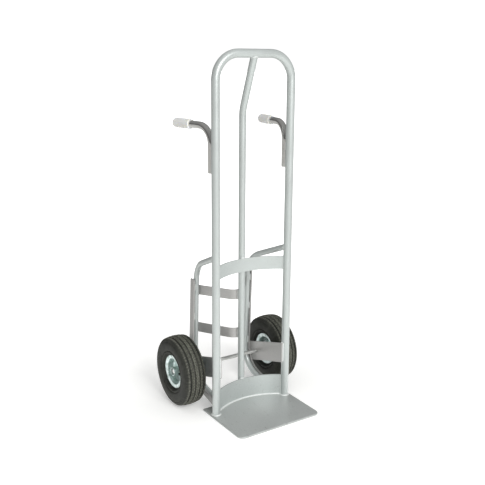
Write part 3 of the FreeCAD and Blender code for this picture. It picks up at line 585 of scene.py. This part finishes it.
def joint_ring(foot, toward, tube_r, main_axis, main_r, step):
    """Where a tube's skin comes out of a straight main tube.

    From each point of the circle of radius tube_r round foot, the way t along the tube's direction
    solves |A + t D| = main_r, where A and D are the parts of the point's offset and of the
    direction that are at right angles to the main tube's axis.
    """
    foot = np.array(foot, float)
    direction = np.array(toward, float) - foot
    direction /= np.linalg.norm(direction)
    main_axis = np.array(main_axis, float)
    side = np.cross(direction, main_axis)
    side /= np.linalg.norm(side)
    other = np.cross(direction, side)
    count = round(2.3 * np.pi * tube_r / step)       # the joint is longer than the circle's 2 pi r
    angle = np.linspace(0, 2 * np.pi, count, endpoint=False)
    offset = tube_r * (np.cos(angle)[:, None] * side + np.sin(angle)[:, None] * other)
    across = offset - (offset @ main_axis)[:, None] * main_axis
    lean = direction - (direction @ main_axis) * main_axis
    square = lean @ lean
    inner = across @ lean
    gap = np.sum(across ** 2, axis=1) - main_r ** 2
    reach = (-inner + np.sqrt(inner ** 2 - square * gap)) / square
    return foot + offset + reach[:, None] * direction


def bead_shell(path, radius, ripple, closed=False):
    """Weld bead along a path.

    At the way s along it and the angle a round it, the radius is
    radius * (0.9 + 0.16 * |sin(pi * (s / ripple + 0.3 cos a))|). Open ends taper as quarter circles.
    """
    ahead = np.roll(path, -1, axis=0)
    steps = np.linalg.norm(ahead - path, axis=1)
    along = np.concatenate([[0], np.cumsum(steps[:-1])])
    if closed:
        tangent = ahead - np.roll(path, 1, axis=0)
        total = steps.sum()
        ripple = total / max(1, round(total / ripple))
        taper = np.ones(len(path))
    else:
        tangent = np.gradient(path, axis=0)
        near_end = np.clip(np.minimum(along, along[-1] - along) / (1.5 * radius), 0, 1)
        taper = np.sqrt(1 - (1 - near_end) ** 2) * 0.95 + 0.05
    tangent /= np.linalg.norm(tangent, axis=1)[:, None]
    reference = np.eye(3)[np.argmin(np.abs(tangent).max(axis=0))]
    side = np.cross(tangent, reference)
    side /= np.linalg.norm(side, axis=1)[:, None]
    other = np.cross(side, tangent)
    angle = np.linspace(0, 2 * np.pi, BEAD_SIDES, endpoint=False)
    phase = along[:, None] / ripple + 0.3 * np.cos(angle)[None]
    size = radius * taper[:, None] * (0.9 + 0.16 * np.abs(np.sin(np.pi * phase)))
    spokes = np.cos(angle)[None, :, None] * side[:, None] + np.sin(angle)[None, :, None] * other[:, None]
    return grid_shell(path[:, None] + size[..., None] * spokes, wrap_rows=closed, capped=not closed)


def path_step(settings):
    """Distance between the points of a bead's path."""
    return settings.ripple / POINTS_A_RIPPLE


def small_bead(settings, path, share=1.0, closed=False):
    """Small bead along a path, at a share of its usual radius."""
    return bead_shell(path, settings.small_bead * share, settings.ripple, closed)


def straight_bead(settings, start, end, share=1.0):
    """Small bead from one point straight to another."""
    return small_bead(settings, line_path(start, end, path_step(settings)), share)


def upright_bead(settings, x, y, bottom, top):
    """Small bead straight up at (x, y)."""
    return straight_bead(settings, (x, y, bottom), (x, y, top))


def both_sides(shells):
    """The shells and their mirror images."""
    return joined(shells + [mirrored(shell) for shell in shells])


def plate_welds(settings):
    """Beads on the toe plate: round each foot on it and along both sides of the back plate."""
    step = path_step(settings)
    foot = bead_shell(ring_path((RAIL_X, 0.0), RAIL_R, PLATE_TOP, step), settings.main_bead * 0.85,
                      settings.ripple, closed=True)
    reach = math.asin(BAR_END_X / BAR_FRONT_R) * PLATE_REACH
    rear_reach = reach * PLATE_REAR_REACH
    centre = (0.0, BAR_CENTRE_Y)
    front = bead_shell(arc_path(centre, BAR_FRONT_R, -reach, reach, PLATE_TOP, step),
                       settings.main_bead, settings.ripple)
    rear = small_bead(settings, arc_path(centre, BAR_REAR_R, -rear_reach, rear_reach, PLATE_TOP, step))
    post = small_bead(settings, arc_path((0.0, CENTRE_Y), CENTRE_R, -math.pi * 0.8, math.pi * 0.8,
                                         PLATE_TOP, step))
    (near_y, near_rise), (far_y, far_rise) = np.array(TUBE_FOOT_BEAD) * MM
    tube_foot = [straight_bead(settings, (x, near_y, PLATE_TOP + near_rise), (x, far_y, PLATE_TOP + far_rise))
                 for x in (SIDE_X - TUBE_FOOT_SIDE, SIDE_X + TUBE_FOOT_SIDE)]
    return joined([both_sides([foot] + tube_foot), front, rear, post])


def bar_welds(settings):
    """Upright beads where both curved bars meet the uprights and the centre tube, and saddles on top."""
    first, last = (math.pi * share for share in SADDLE_BEAD)
    beads = []
    for node in ("upper_cross_bar", "lower_back_plate"):
        low, high = corners(node)
        places = ((BAR_END_X, BAR_LOW[1]), (BAR_HIGH[0], BAR_END_REAR),
                  (POST_BEAD[0], high[1] + POST_BEAD[1]))
        beads += [upright_bead(settings, x, y, low[2] + 1.5 * MM, high[2] - BEAD_INSET) for x, y in places]
        saddle = arc_path((0.0, CENTRE_Y), CENTRE_R - 0.4 * MM, first, last, high[2], path_step(settings))
        beads.append(small_bead(settings, saddle))
    return both_sides(beads)


def strap_welds(settings):
    """Upright beads where the bowed straps meet the centre tube and the side tubes."""
    beads = []
    for node in ("upper_rear_strap", "lower_rear_strap"):
        low, high = corners(node)
        places = [(8.0 * MM, low[1] - BEAD_INSET)]
        places += [(high[0] - inwards * MM, high[1] - forwards * MM) for inwards, forwards in STRAP_BEADS]
        beads += [upright_bead(settings, x, y, low[2] + BEAD_INSET, high[2] - BEAD_INSET) for x, y in places]
    return both_sides(beads)


def bracket_welds(settings):
    """Beads down the front end of each axle bracket and across its top and bottom edges there."""
    low, high = corners("right_axle_bracket")
    beads = []
    for behind, proud in BRACKET_BEADS:
        top = high[2] - behind * MM * BRACKET_FALL
        beads.append(upright_bead(settings, high[0] + proud * MM, low[1] + behind * MM,
                                  top - BRACKET_FRONT + 1.5 * MM, top - BEAD_INSET))
    for edge in (high[2], high[2] - BRACKET_FRONT):
        beads.append(straight_bead(settings, (low[0] + 2 * MM, low[1] + 1 * MM, edge),
                                   (high[0] + 2 * MM, low[1] + 9 * MM, edge - 2.4 * MM)))
    return both_sides(beads)


def tube_welds(settings):
    """Rings where the side tubes and the centre tube come out of the loop, and the handles' stitches."""
    step = path_step(settings)
    side_path = joint_ring((RAIL_X, 0.0, SIDE_JOIN_Z), SIDE_TOP_BEND, SIDE_TUBE_R, (0, 0, 1), RAIL_R, step)
    side = small_bead(settings, side_path, 0.8, closed=True)
    centre_path = joint_ring((0.0, 0.0, LOOP_Z), (0.0, CENTRE_Y, CENTRE_BEND_Z), CENTRE_R, (1, 0, 0),
                             RAIL_R, step)
    centre = small_bead(settings, centre_path, 0.8, closed=True)
    leg_low = corners("right_handle_tube")[0][2]
    stitches = [upright_bead(settings, x, RAIL_R, leg_low + start * MM, leg_low + end * MM)
                for x in (RAIL_X - LEG_BEAD_SIDE, RAIL_X + LEG_BEAD_SIDE) for start, end in LEG_BEADS]
    return joined([centre, both_sides([side] + stitches)])


def skid_welds(settings):
    """Stitches between each side tube and the skid bar on its outside."""
    skid_x = corners("right_skid_bar")[0][0]
    run = SIDE_TOP_BEND - SIDE_LOW_BEND
    half = run / np.linalg.norm(run) * SKID_BEAD_HALF
    stitches = []
    for height in SKID_BEADS:
        middle = SIDE_LOW_BEND + run * (height * MM - SIDE_LOW_BEND[2]) / run[2]
        for way in (-1, 1):
            place = middle + [skid_x - SIDE_X - SKID_BEAD_PLACE[0], way * SKID_BEAD_PLACE[1], 0.0]
            stitches.append(straight_bead(settings, place - half, place + half, 0.8))
    return both_sides(stitches)


# ---------------------------------------------------------------- finishes
def linear(hex_value, factor=1.0):
    """Linear RGBA of an sRGB hex value, made lighter or darker by a factor."""
    parts = [int(hex_value[k:k + 2], 16) / 255 for k in (1, 3, 5)]
    parts = [p / 12.92 if p <= 0.04045 else ((p + 0.055) / 1.055) ** 2.4 for p in parts]
    return tuple(min(1.0, part * factor) for part in parts) + (1.0,)


def per_metre(size_mm):
    """Texture scale for features of this size in millimetres."""
    return 1000.0 / size_mm


def feed(node, inputs):
    """Fills a node's inputs with values or links. A node stands for its first output in use."""
    for socket, value in inputs.items():
        if isinstance(value, bpy.types.Node):
            value = next(output for output in value.outputs if output.enabled)
        if isinstance(value, bpy.types.NodeSocket):
            node.id_data.links.new(value, node.inputs[socket])
        else:
            node.inputs[socket].default_value = value


def add_node(tree, kind, inputs=None, **settings):
    """Adds a shader node of a kind, sets its properties and fills its inputs."""
    node = tree.nodes.new("ShaderNode" + kind)
    for key, value in settings.items():
        setattr(node, key, value)
    feed(node, inputs or {})
    return node


MIX_A, MIX_B = 6, 7              # colour sockets of a Mix node


def new_material(name, **values):
    """A material with one Principled shader: the material, a function that adds nodes to it, the shader
    and the Object coordinates."""
    material = bpy.data.materials.new(name)
    material.use_nodes = True
    tree = material.node_tree
    shader = tree.nodes["Principled BSDF"]
    feed(shader, {socket.replace("_", " "): value for socket, value in values.items()})
    add = partial(add_node, tree)
    return material, add, shader, add("TexCoord").outputs["Object"]


def enamel(name, colour, scuff_height, scuff_amount):
    """Aluminium-pigment enamel, sprayed on steel and stoved: satin, faintly metallic, with a soft
    orange peel, a slight cloudiness and scuffs where loads and floors rub it."""
    material, add, shader, place = new_material(name, Metallic=0.35, Coat_Weight=0.12, Coat_Roughness=0.3)
    cloud = add("TexNoise", {"Vector": place, "Scale": per_metre(90), "Detail": 3.0})
    tint = add("Mix", {"Factor": cloud, MIX_A: linear(colour, 0.93), MIX_B: linear(colour, 1.06)},
               data_type="RGBA")
    # pigment flakes are about 0.05 mm: drawn at 1.2 mm so that they show
    flake = add("TexVoronoi", {"Vector": place, "Scale": per_metre(1.2)})
    glint = add("SeparateColor", {"Color": flake.outputs["Color"]})
    sparkle = add("MapRange", {"Value": glint.outputs["Red"], "To Min": 0.94, "To Max": 1.06})
    flaked = add("VectorMath", {0: tint, "Scale": sparkle}, operation="SCALE")
    stretched = add("Mapping", {"Vector": place, "Scale": (1.0, 0.22, 0.35)})
    scrape = add("TexNoise", {"Vector": stretched, "Scale": per_metre(7), "Detail": 6.0, "Roughness": 0.7})
    worn = add("MapRange", {"Value": scrape, "From Min": 0.61, "From Max": 0.70})
    height = add("SeparateXYZ", {"Vector": place})
    near_floor = add("MapRange", {"Value": height.outputs["Z"], "From Min": scuff_height, "From Max": 0.0,
                                  "To Max": scuff_amount})
    scuffed = add("Math", {0: worn, 1: near_floor}, operation="MULTIPLY")
    base = add("Mix", {"Factor": scuffed, MIX_A: flaked, MIX_B: linear("#8E8E89")}, data_type="RGBA")
    dull = add("MapRange", {"Value": cloud, "From Min": 0.3, "From Max": 0.7, "To Min": 0.36,
                            "To Max": 0.46})
    peel = add("TexNoise", {"Vector": place, "Scale": per_metre(2.6), "Detail": 2.0})
    bump = add("Bump", {"Height": peel, "Strength": 0.25, "Distance": 0.12 * MM})
    feed(shader, {"Base Color": base, "Roughness": dull, "Normal": bump})
    return material


def frame_enamel(colours):
    """Silver-grey enamel of the tubes and curved bars."""
    return enamel("silver_enamel_on_tube", colours.enamel, 0.5, 0.5)


def shaded_plate_enamel(colours):
    """The same enamel on flat plate, which loads and floors have scuffed more, in a darker grey that is
    painted shade on the up-facing plate.
    """
    return enamel("silver_enamel_on_plate_painted_shade", colours.plate, 0.35, 0.75)


def shaded_bar_enamel(colours):
    """The same enamel on rolled flat bar, in a darker and warmer grey that is painted shade on the brackets,
    straps and skid bars.
    """
    return enamel("silver_enamel_on_bar_painted_shade", colours.bar, 0.35, 0.6)


def highlit_weld_enamel(colours):
    """Enamel over the ripples of a weld, where it is thickest; its paler grey is a painted highlight where
    the beads catch the light.
    """
    return enamel("silver_enamel_on_weld_painted_highlight", colours.weld, 0.3, 0.2)


def zinc_plate(colours):
    """Electroplated zinc with a clear passivation on pressed steel: bright, faintly green, cloudy."""
    material, add, shader, place = new_material("bright_zinc_plate", Metallic=0.7)
    cloud = add("TexNoise", {"Vector": place, "Scale": per_metre(16), "Detail": 4.0})
    spread = add("MapRange", {"Value": cloud, "From Min": 0.35, "From Max": 0.65})
    tint = add("Mix", {"Factor": spread, MIX_A: linear(colours.zinc, 0.62), MIX_B: linear(colours.zinc,
                                                                                          1.2)},
               data_type="RGBA")
    dull = add("MapRange", {"Value": cloud, "To Min": 0.22, "To Max": 0.42})
    # the press leaves a grain about 1 mm across
    marks = add("TexNoise", {"Vector": place, "Scale": per_metre(1.1), "Detail": 2.0})
    bump = add("Bump", {"Height": marks, "Strength": 0.2, "Distance": 0.06 * MM})
    feed(shader, {"Base Color": tint, "Roughness": dull, "Normal": bump})
    return material


def plated_tube(colours):
    """Nickel and thin chrome on drawn tube: bright, with fine draw lines and dull patches."""
    material, add, shader, place = new_material("plated_handle_tube", Metallic=1.0)
    haze = add("TexNoise", {"Vector": place, "Scale": per_metre(24), "Detail": 5.0})
    tint = add("Mix", {"Factor": haze, MIX_A: linear(colours.handle, 0.8), MIX_B: linear(colours.handle,
                                                                                         1.2)},
               data_type="RGBA")
    dull = add("MapRange", {"Value": haze, "From Min": 0.3, "From Max": 0.7, "To Min": 0.1, "To Max": 0.24})
    stretched = add("Mapping", {"Vector": place, "Scale": (1.0, 0.12, 0.12)})
    lines = add("TexNoise", {"Vector": stretched, "Scale": per_metre(0.9), "Detail": 3.0})
    bump = add("Bump", {"Height": lines, "Strength": 0.15, "Distance": 0.04 * MM})
    feed(shader, {"Base Color": tint, "Roughness": dull, "Normal": bump})
    return material


def grip_vinyl(colours):
    """Dip-moulded plasticised PVC: milky, lit from within at its edges, with a fine leathery skin."""
    material, add, shader, place = new_material(
        "milky_grip_vinyl", IOR=1.53, Subsurface_Weight=0.35, Subsurface_Radius=(1.0, 0.9, 0.7),
        Subsurface_Scale=4 * MM)
    cloud = add("TexNoise", {"Vector": place, "Scale": per_metre(20), "Detail": 3.0})
    tint = add("Mix", {"Factor": cloud, MIX_A: linear(colours.vinyl, 0.96), MIX_B: linear(colours.vinyl,
                                                                                          1.04)},
               data_type="RGBA")
    grime = add("TexNoise", {"Vector": place, "Scale": per_metre(6), "Detail": 6.0})
    touched = add("MapRange", {"Value": grime, "From Min": 0.56, "From Max": 0.75, "To Max": 0.1})
    base = add("Mix", {"Factor": touched, MIX_A: tint, MIX_B: linear("#C4C1B4")}, data_type="RGBA")
    dull = add("MapRange", {"Value": cloud, "To Min": 0.32, "To Max": 0.5})
    skin = add("TexVoronoi", {"Vector": place, "Scale": per_metre(1.4)}, feature="SMOOTH_F1")
    bump = add("Bump", {"Height": skin, "Strength": 0.2, "Distance": 0.12 * MM})
    feed(shader, {"Base Color": base, "Roughness": dull, "Normal": bump})
    return material


def rubber(name, colour, dusty, tread_dust_and_highlight):
    """Carbon-black rubber, moulded and vulcanised: matt, with a fine grain and pale dust on it.

    The pale mix is thicker on the tops of the ribs: it grows with the distance from the axle, from the
    floor of a groove to the top of the tread. There it is dust and also a painted highlight on the rib tops,
    with painted shade left on the groove floors.
    """
    material, add, shader, place = new_material(name, IOR=1.52)
    dust = add("TexNoise", {"Vector": place, "Scale": per_metre(30), "Detail": 6.0, "Roughness": 0.65})
    amount = add("MapRange", {"Value": dust, "From Min": 0.35, "From Max": 0.75, "To Max": dusty})
    axle = (0.0, WHEEL_CENTRE[1], WHEEL_CENTRE[2])
    spoke = add("VectorMath", {0: place, 1: axle}, operation="SUBTRACT")
    flat_spoke = add("VectorMath", {0: spoke, 1: (0.0, 1.0, 1.0)}, operation="MULTIPLY")
    reach = add("VectorMath", {0: flat_spoke}, operation="LENGTH")
    # dust and painted highlight on the rib tops, painted shade on the groove floors: paler further from the
    # axle
    tread_top_dust_and_highlight = add("MapRange", {"Value": reach, "From Min": TYRE_R - 9 * MM, "From Max": TYRE_R - 2 * MM,
                             "To Max": tread_dust_and_highlight})
    # speckle of grit about 3 mm apart
    grit = add("TexNoise", {"Vector": place, "Scale": per_metre(3), "Detail": 2.0})
    gritty = add("MapRange", {"Value": grit, "From Min": 0.42, "From Max": 0.58, "To Min": 0.2})
    ribs = add("Math", {0: tread_top_dust_and_highlight, 1: gritty}, operation="MULTIPLY")
    total = add("Math", {0: amount, 1: ribs}, operation="ADD", use_clamp=True)
    base = add("Mix", {"Factor": total, MIX_A: linear(colour), MIX_B: linear("#87887C")}, data_type="RGBA")
    dull = add("MapRange", {"Value": dust, "To Min": 0.55, "To Max": 0.85})
    grain = add("TexNoise", {"Vector": place, "Scale": per_metre(0.9), "Detail": 3.0})
    bump = add("Bump", {"Height": grain, "Strength": 0.35, "Distance": 0.15 * MM})
    feed(shader, {"Base Color": base, "Roughness": dull, "Normal": bump})
    return material


def tyre_rubber(colours):
    """Tread and sidewall rubber, dusty from the floor, with pale rib tops that are dust and also a painted
    highlight.
    """
    return rubber("moulded_tyre_rubber", colours.rubber, 0.22, 0.9)


def tube_rubber(colours):
    """Butyl rubber of the inner tubes, clean."""
    return rubber("butyl_tube_rubber", colours.rubber, 0.08, 0.0)


def bare_metal(name, colour, roughness, line_scale):
    """Bare metal, drawn, turned or ground: a clean sheen broken by fine tool lines round or along it."""
    material, add, shader, place = new_material(name, Metallic=1.0)
    haze = add("TexNoise", {"Vector": place, "Scale": per_metre(12), "Detail": 4.0})
    tint = add("Mix", {"Factor": haze, MIX_A: linear(colour, 0.85), MIX_B: linear(colour, 1.12)},
               data_type="RGBA")
    dull = add("MapRange", {"Value": haze, "To Min": roughness * 0.7, "To Max": roughness * 1.3})
    stretched = add("Mapping", {"Vector": place, "Scale": line_scale})
    lines = add("TexNoise", {"Vector": stretched, "Scale": per_metre(0.8), "Detail": 2.0})
    bump = add("Bump", {"Height": lines, "Strength": 0.2, "Distance": 0.03 * MM})
    feed(shader, {"Base Color": tint, "Roughness": dull, "Normal": bump})
    return material


def axle_steel(colours):
    """Cold-drawn bar: lines along the axle."""
    return bare_metal("cold_drawn_axle_steel", "#E3E4E1", 0.4, (0.1, 1.0, 1.0))


def bearing_steel(colours):
    """Ground and hardened steel of races, balls and spring rings: darker, with lines round it."""
    return bare_metal("ground_bearing_steel", "#8B8C8E", 0.22, (1.0, 0.3, 0.3))


def valve_brass(colours):
    """Machined brass of the valve stem."""
    return bare_metal("machined_valve_brass", "#B79A55", 0.3, (1.0, 0.3, 0.3))


def cap_plastic(colours):
    """Moulded polypropylene of the valve cap: black, with the dull sheen of a spark-eroded mould."""
    material, add, shader, place = new_material("moulded_cap_plastic", IOR=1.49)
    speckle = add("TexNoise", {"Vector": place, "Scale": per_metre(0.7), "Detail": 3.0})
    tint = add("Mix", {"Factor": speckle, MIX_A: linear("#151515"), MIX_B: linear("#242424")},
               data_type="RGBA")
    dull = add("MapRange", {"Value": speckle, "To Min": 0.38, "To Max": 0.55})
    bump = add("Bump", {"Height": speckle, "Strength": 0.3, "Distance": 0.05 * MM})
    feed(shader, {"Base Color": tint, "Roughness": dull, "Normal": bump})
    return material


FINISHES = {
    "frame_paint": frame_enamel,
    "plate_paint": shaded_plate_enamel,
    "bar_paint": shaded_bar_enamel,
    "weld_paint": highlit_weld_enamel,
    "chromed_tube": plated_tube,
    "grip_vinyl": grip_vinyl,
    "tyre_rubber": tyre_rubber,
    "tube_rubber": tube_rubber,
    "zinc_steel": zinc_plate,
    "axle_steel": axle_steel,
    "bearing_steel": bearing_steel,
    "brass_valve": valve_brass,
    "cap_plastic": cap_plastic,
}
RECORD_SLOTS = {"weld_paint": "frame_paint"}     # finishes that share another slot of the record
# these pieces get the darker bar enamel, whose tone is painted shade
BAR_NODES = {                                    # pieces of rolled flat bar
    "upper_rear_strap", "lower_rear_strap", "left_axle_bracket", "right_axle_bracket", "left_skid_bar",
    "right_skid_bar",
}
made_finishes = {}


def finish(slot):
    """The slot's material, made the first time that it is asked for."""
    if slot not in made_finishes:
        made_finishes[slot] = FINISHES[slot](bpy.context.scene.hand_truck_colours)
    return made_finishes[slot]


# ---------------------------------------------------------------- operators
def add_wheel_pieces(part, shell, slot):
    """Adds a wheel's shell, made for the right wheel, to both wheels in place of their CAD nodes."""
    for side, way in SIDES.items():
        own = shell if way > 0 else mirrored(shell)
        node = side + "_" + part
        add_piece(node + "_finished", own, slot, side + "_wheel", [node])


class HANDTRUCK_OT_tyres(bpy.types.Operator):
    """Build both tyres with their saw-tooth tread, cross slots and stepped sidewalls"""

    bl_idname = "hand_truck.tyres"
    bl_label = "Tyres"

    def execute(self, context):
        add_wheel_pieces("tyre", tyre_shell(context.scene.hand_truck_tyres), "tyre_rubber")
        return {"FINISHED"}


class HANDTRUCK_OT_rims(bpy.types.Operator):
    """Build the pressed rim halves and the hubs of both wheels"""

    bl_idname = "hand_truck.rims"
    bl_label = "Rims and hubs"

    def execute(self, context):
        settings = context.scene.hand_truck_wheels
        outer = rim_shell(settings)
        flipped, faces = mirrored(outer)
        inner = (flipped + [2 * WHEEL_CENTRE[0], 0, 0], faces)
        add_wheel_pieces("outer_rim_half", outer, "zinc_steel")
        add_wheel_pieces("inner_rim_half", inner, "zinc_steel")
        add_wheel_pieces("hub", hub_shell(settings), "zinc_steel")
        return {"FINISHED"}


class HANDTRUCK_OT_fasteners(bpy.types.Operator):
    """Build the chamfered bolts, washers and nuts that hold each rim together"""

    bl_idname = "hand_truck.fasteners"
    bl_label = "Rim bolts and nuts"

    def execute(self, context):
        settings = context.scene.hand_truck_wheels
        add_wheel_pieces("rim_bolts", bolts_shell(settings), "zinc_steel")
        add_wheel_pieces("rim_nuts", nuts_shell(settings), "zinc_steel")
        return {"FINISHED"}


class HANDTRUCK_OT_grips(bpy.types.Operator):
    """Build the soft sleeve on each handle"""

    bl_idname = "hand_truck.grips"
    bl_label = "Grips"

    def execute(self, context):
        for side in SIDES:
            node = side + "_grip"
            shell = grip_shell(node, context.scene.hand_truck_grips)
            add_piece(node + "_finished", shell, "grip_vinyl", "frame", [node])
        return {"FINISHED"}


class HANDTRUCK_OT_welds(bpy.types.Operator):
    """Lay the weld beads that join the frame"""

    bl_idname = "hand_truck.welds"
    bl_label = "Weld beads"

    def execute(self, context):
        settings = context.scene.hand_truck_welds
        groups = {
            "toe_plate_welds": plate_welds,
            "cross_bar_welds": bar_welds,
            "rear_strap_welds": strap_welds,
            "axle_bracket_welds": bracket_welds,
            "tube_joint_welds": tube_welds,
            "skid_bar_welds": skid_welds,
        }
        for name, group in groups.items():
            add_piece(name, group(settings), "weld_paint", "frame")
        return {"FINISHED"}


class HANDTRUCK_OT_finishes(bpy.types.Operator):
    """Give every CAD node the finish of its slot"""

    bl_idname = "hand_truck.finishes"
    bl_label = "Finishes"

    def execute(self, context):
        for row in frame["record"]["subparts"]:
            slot = "bar_paint" if row["node"] in BAR_NODES else row["material_slot"]
            frame["nodes"][row["node"]].material_slots[0].material = finish(slot)
        return {"FINISHED"}


class HANDTRUCK_OT_studio(bpy.types.Operator):
    """Set up the pale floor, the soft light and the camera"""

    bl_idname = "hand_truck.studio"
    bl_label = "Studio"

    def execute(self, context):
        settings = context.scene.hand_truck_studio
        add_floor()
        add_surround(context.scene, settings.surround)
        add_area_light("key_light", KEY_PLACE, KEY_TARGET, KEY_SIZE, settings.key_power)
        add_camera(context.scene, settings)
        context.scene.view_settings.view_transform = "Standard"
        return {"FINISHED"}


# ---------------------------------------------------------------- studio
FLOOR_HALF = 60.0
KEY_PLACE = (-0.3, -3.3, 2.4)
KEY_TARGET = (0.0, 0.0, 0.6)
KEY_SIZE = 1.8
SENSOR_WIDTH = 36.0              # mm


def add_floor():
    """Large level sheet, matt and pale.

    It also glows, as a white cove does. The eye sees a glow that grows with the distance from the
    truck, and shiny pieces mirror one that fades with it. Matt pieces see the sheet unlit.
    """
    half = FLOOR_HALF
    mesh = bpy.data.meshes.new("studio_floor")
    mesh.from_pydata([(-half, -half, 0), (half, -half, 0), (half, half, 0), (-half, half, 0)], [],
                     [(0, 1, 2, 3)])
    material, add, shader, place = new_material("white_cove", Roughness=0.9, Base_Color=linear("#F4F4F2"),
                                                Emission_Color=(1.0, 1.0, 1.0, 1.0))
    away = add("VectorMath", {0: place}, operation="LENGTH")
    far = add("MapRange", {"Value": away, "From Min": 0.3, "From Max": 1.7, "To Min": 0.3, "To Max": 1.05},
              interpolation_type="SMOOTHSTEP")
    near = add("MapRange", {"Value": away, "From Min": 0.5, "From Max": 1.8, "To Min": 0.6, "To Max": 0.0},
               interpolation_type="SMOOTHSTEP")
    ray = add("LightPath").outputs
    seen = add("Math", {0: far, 1: ray["Is Camera Ray"]}, operation="MULTIPLY")
    glow = add("Math", {0: near, 1: ray["Is Glossy Ray"], 2: seen}, operation="MULTIPLY_ADD")
    feed(shader, {"Emission Strength": glow})
    mesh.materials.append(material)
    floor = bpy.data.objects.new("studio_floor", mesh)
    bpy.context.scene.collection.objects.link(floor)


def add_surround(scene, strength):
    """Surround that looks white, lights the truck more from overhead than from the horizon, and is
    dimmer still in shiny pieces."""
    world = bpy.data.worlds.new("studio_surround")
    world.use_nodes = True
    add = partial(add_node, world.node_tree)
    height = add("SeparateXYZ", {"Vector": add("TexCoord").outputs["Generated"]})
    level = add("MapRange", {"Value": height.outputs["Z"], "From Min": 0.1, "From Max": 0.9,
                             "To Min": 0.9 * strength, "To Max": 2.3 * strength})
    ray = add("LightPath").outputs
    in_gloss = add("MapRange", {"Value": ray["Is Glossy Ray"], "To Min": 1.0, "To Max": 0.45})
    thrown = add("Math", {0: level, 1: in_gloss}, operation="MULTIPLY")
    seen = add("Mix", {"Factor": ray["Is Camera Ray"], "A": thrown, "B": 1.05})
    feed(world.node_tree.nodes["Background"], {"Color": (1.0, 1.0, 1.0, 1.0), "Strength": seen})
    scene.world = world


def add_area_light(name, place, target, size, power):
    """Square soft light at a place, turned towards a target."""
    light = bpy.data.lights.new(name, "AREA")
    light.energy = power
    light.size = size
    lamp = bpy.data.objects.new(name, light)
    lamp.location = place
    lamp.rotation_euler = (Vector(target) - Vector(place)).to_track_quat("-Z", "Y").to_euler()
    bpy.context.scene.collection.objects.link(lamp)


def add_camera(scene, settings):
    """Camera that looks along yaw and pitch, rolled about its own view."""
    yaw, pitch, roll = settings.camera_yaw, settings.camera_pitch, settings.camera_roll
    forward = Vector((math.sin(yaw) * math.cos(pitch), math.cos(yaw) * math.cos(pitch), -math.sin(pitch)))
    level = Vector((math.cos(yaw), -math.sin(yaw), 0.0))
    above = level.cross(forward)
    right = level * math.cos(roll) + above * math.sin(roll)
    up = above * math.cos(roll) - level * math.sin(roll)
    data = bpy.data.cameras.new("studio_camera")
    data.lens = settings.focal_length
    data.sensor_width = SENSOR_WIDTH
    camera = bpy.data.objects.new("studio_camera", data)
    turn = Matrix((right, up, -forward)).transposed().to_4x4()
    camera.matrix_world = Matrix.Translation(settings.camera_place) @ turn
    scene.collection.objects.link(camera)
    scene.camera = camera


class HANDTRUCK_PT_panel(bpy.types.Panel):
    """Sidebar panel with every step and its settings"""

    bl_idname = "HANDTRUCK_PT_panel"
    bl_label = "Hand Truck"
    bl_space_type = "VIEW_3D"
    bl_region_type = "UI"
    bl_category = "Hand Truck"

    def draw(self, context):
        for operator in OPERATORS:
            self.layout.operator(operator.bl_idname)
        for name, group in SETTINGS.items():
            box = self.layout.box()
            for field in group.__annotations__:
                box.prop(getattr(context.scene, name), field)


OPERATORS = (
    HANDTRUCK_OT_tyres,
    HANDTRUCK_OT_rims,
    HANDTRUCK_OT_fasteners,
    HANDTRUCK_OT_grips,
    HANDTRUCK_OT_welds,
    HANDTRUCK_OT_finishes,
    HANDTRUCK_OT_studio,
)


def register():
    """Register the settings, operators and panel."""
    for name, group in SETTINGS.items():
        bpy.utils.register_class(group)
        setattr(bpy.types.Scene, name, bpy.props.PointerProperty(type=group))
    for kind in OPERATORS + (HANDTRUCK_PT_panel,):
        bpy.utils.register_class(kind)


def unregister():
    """Remove them again."""
    for kind in reversed(OPERATORS + (HANDTRUCK_PT_panel,)):
        bpy.utils.unregister_class(kind)
    for name, group in SETTINGS.items():
        delattr(bpy.types.Scene, name)
        bpy.utils.unregister_class(group)


def main():
    """Register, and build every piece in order."""
    register()
    for operator in OPERATORS:
        group, name = operator.bl_idname.split(".")
        getattr(getattr(bpy.ops, group), name)()


if __name__ == "__main__":
    main()
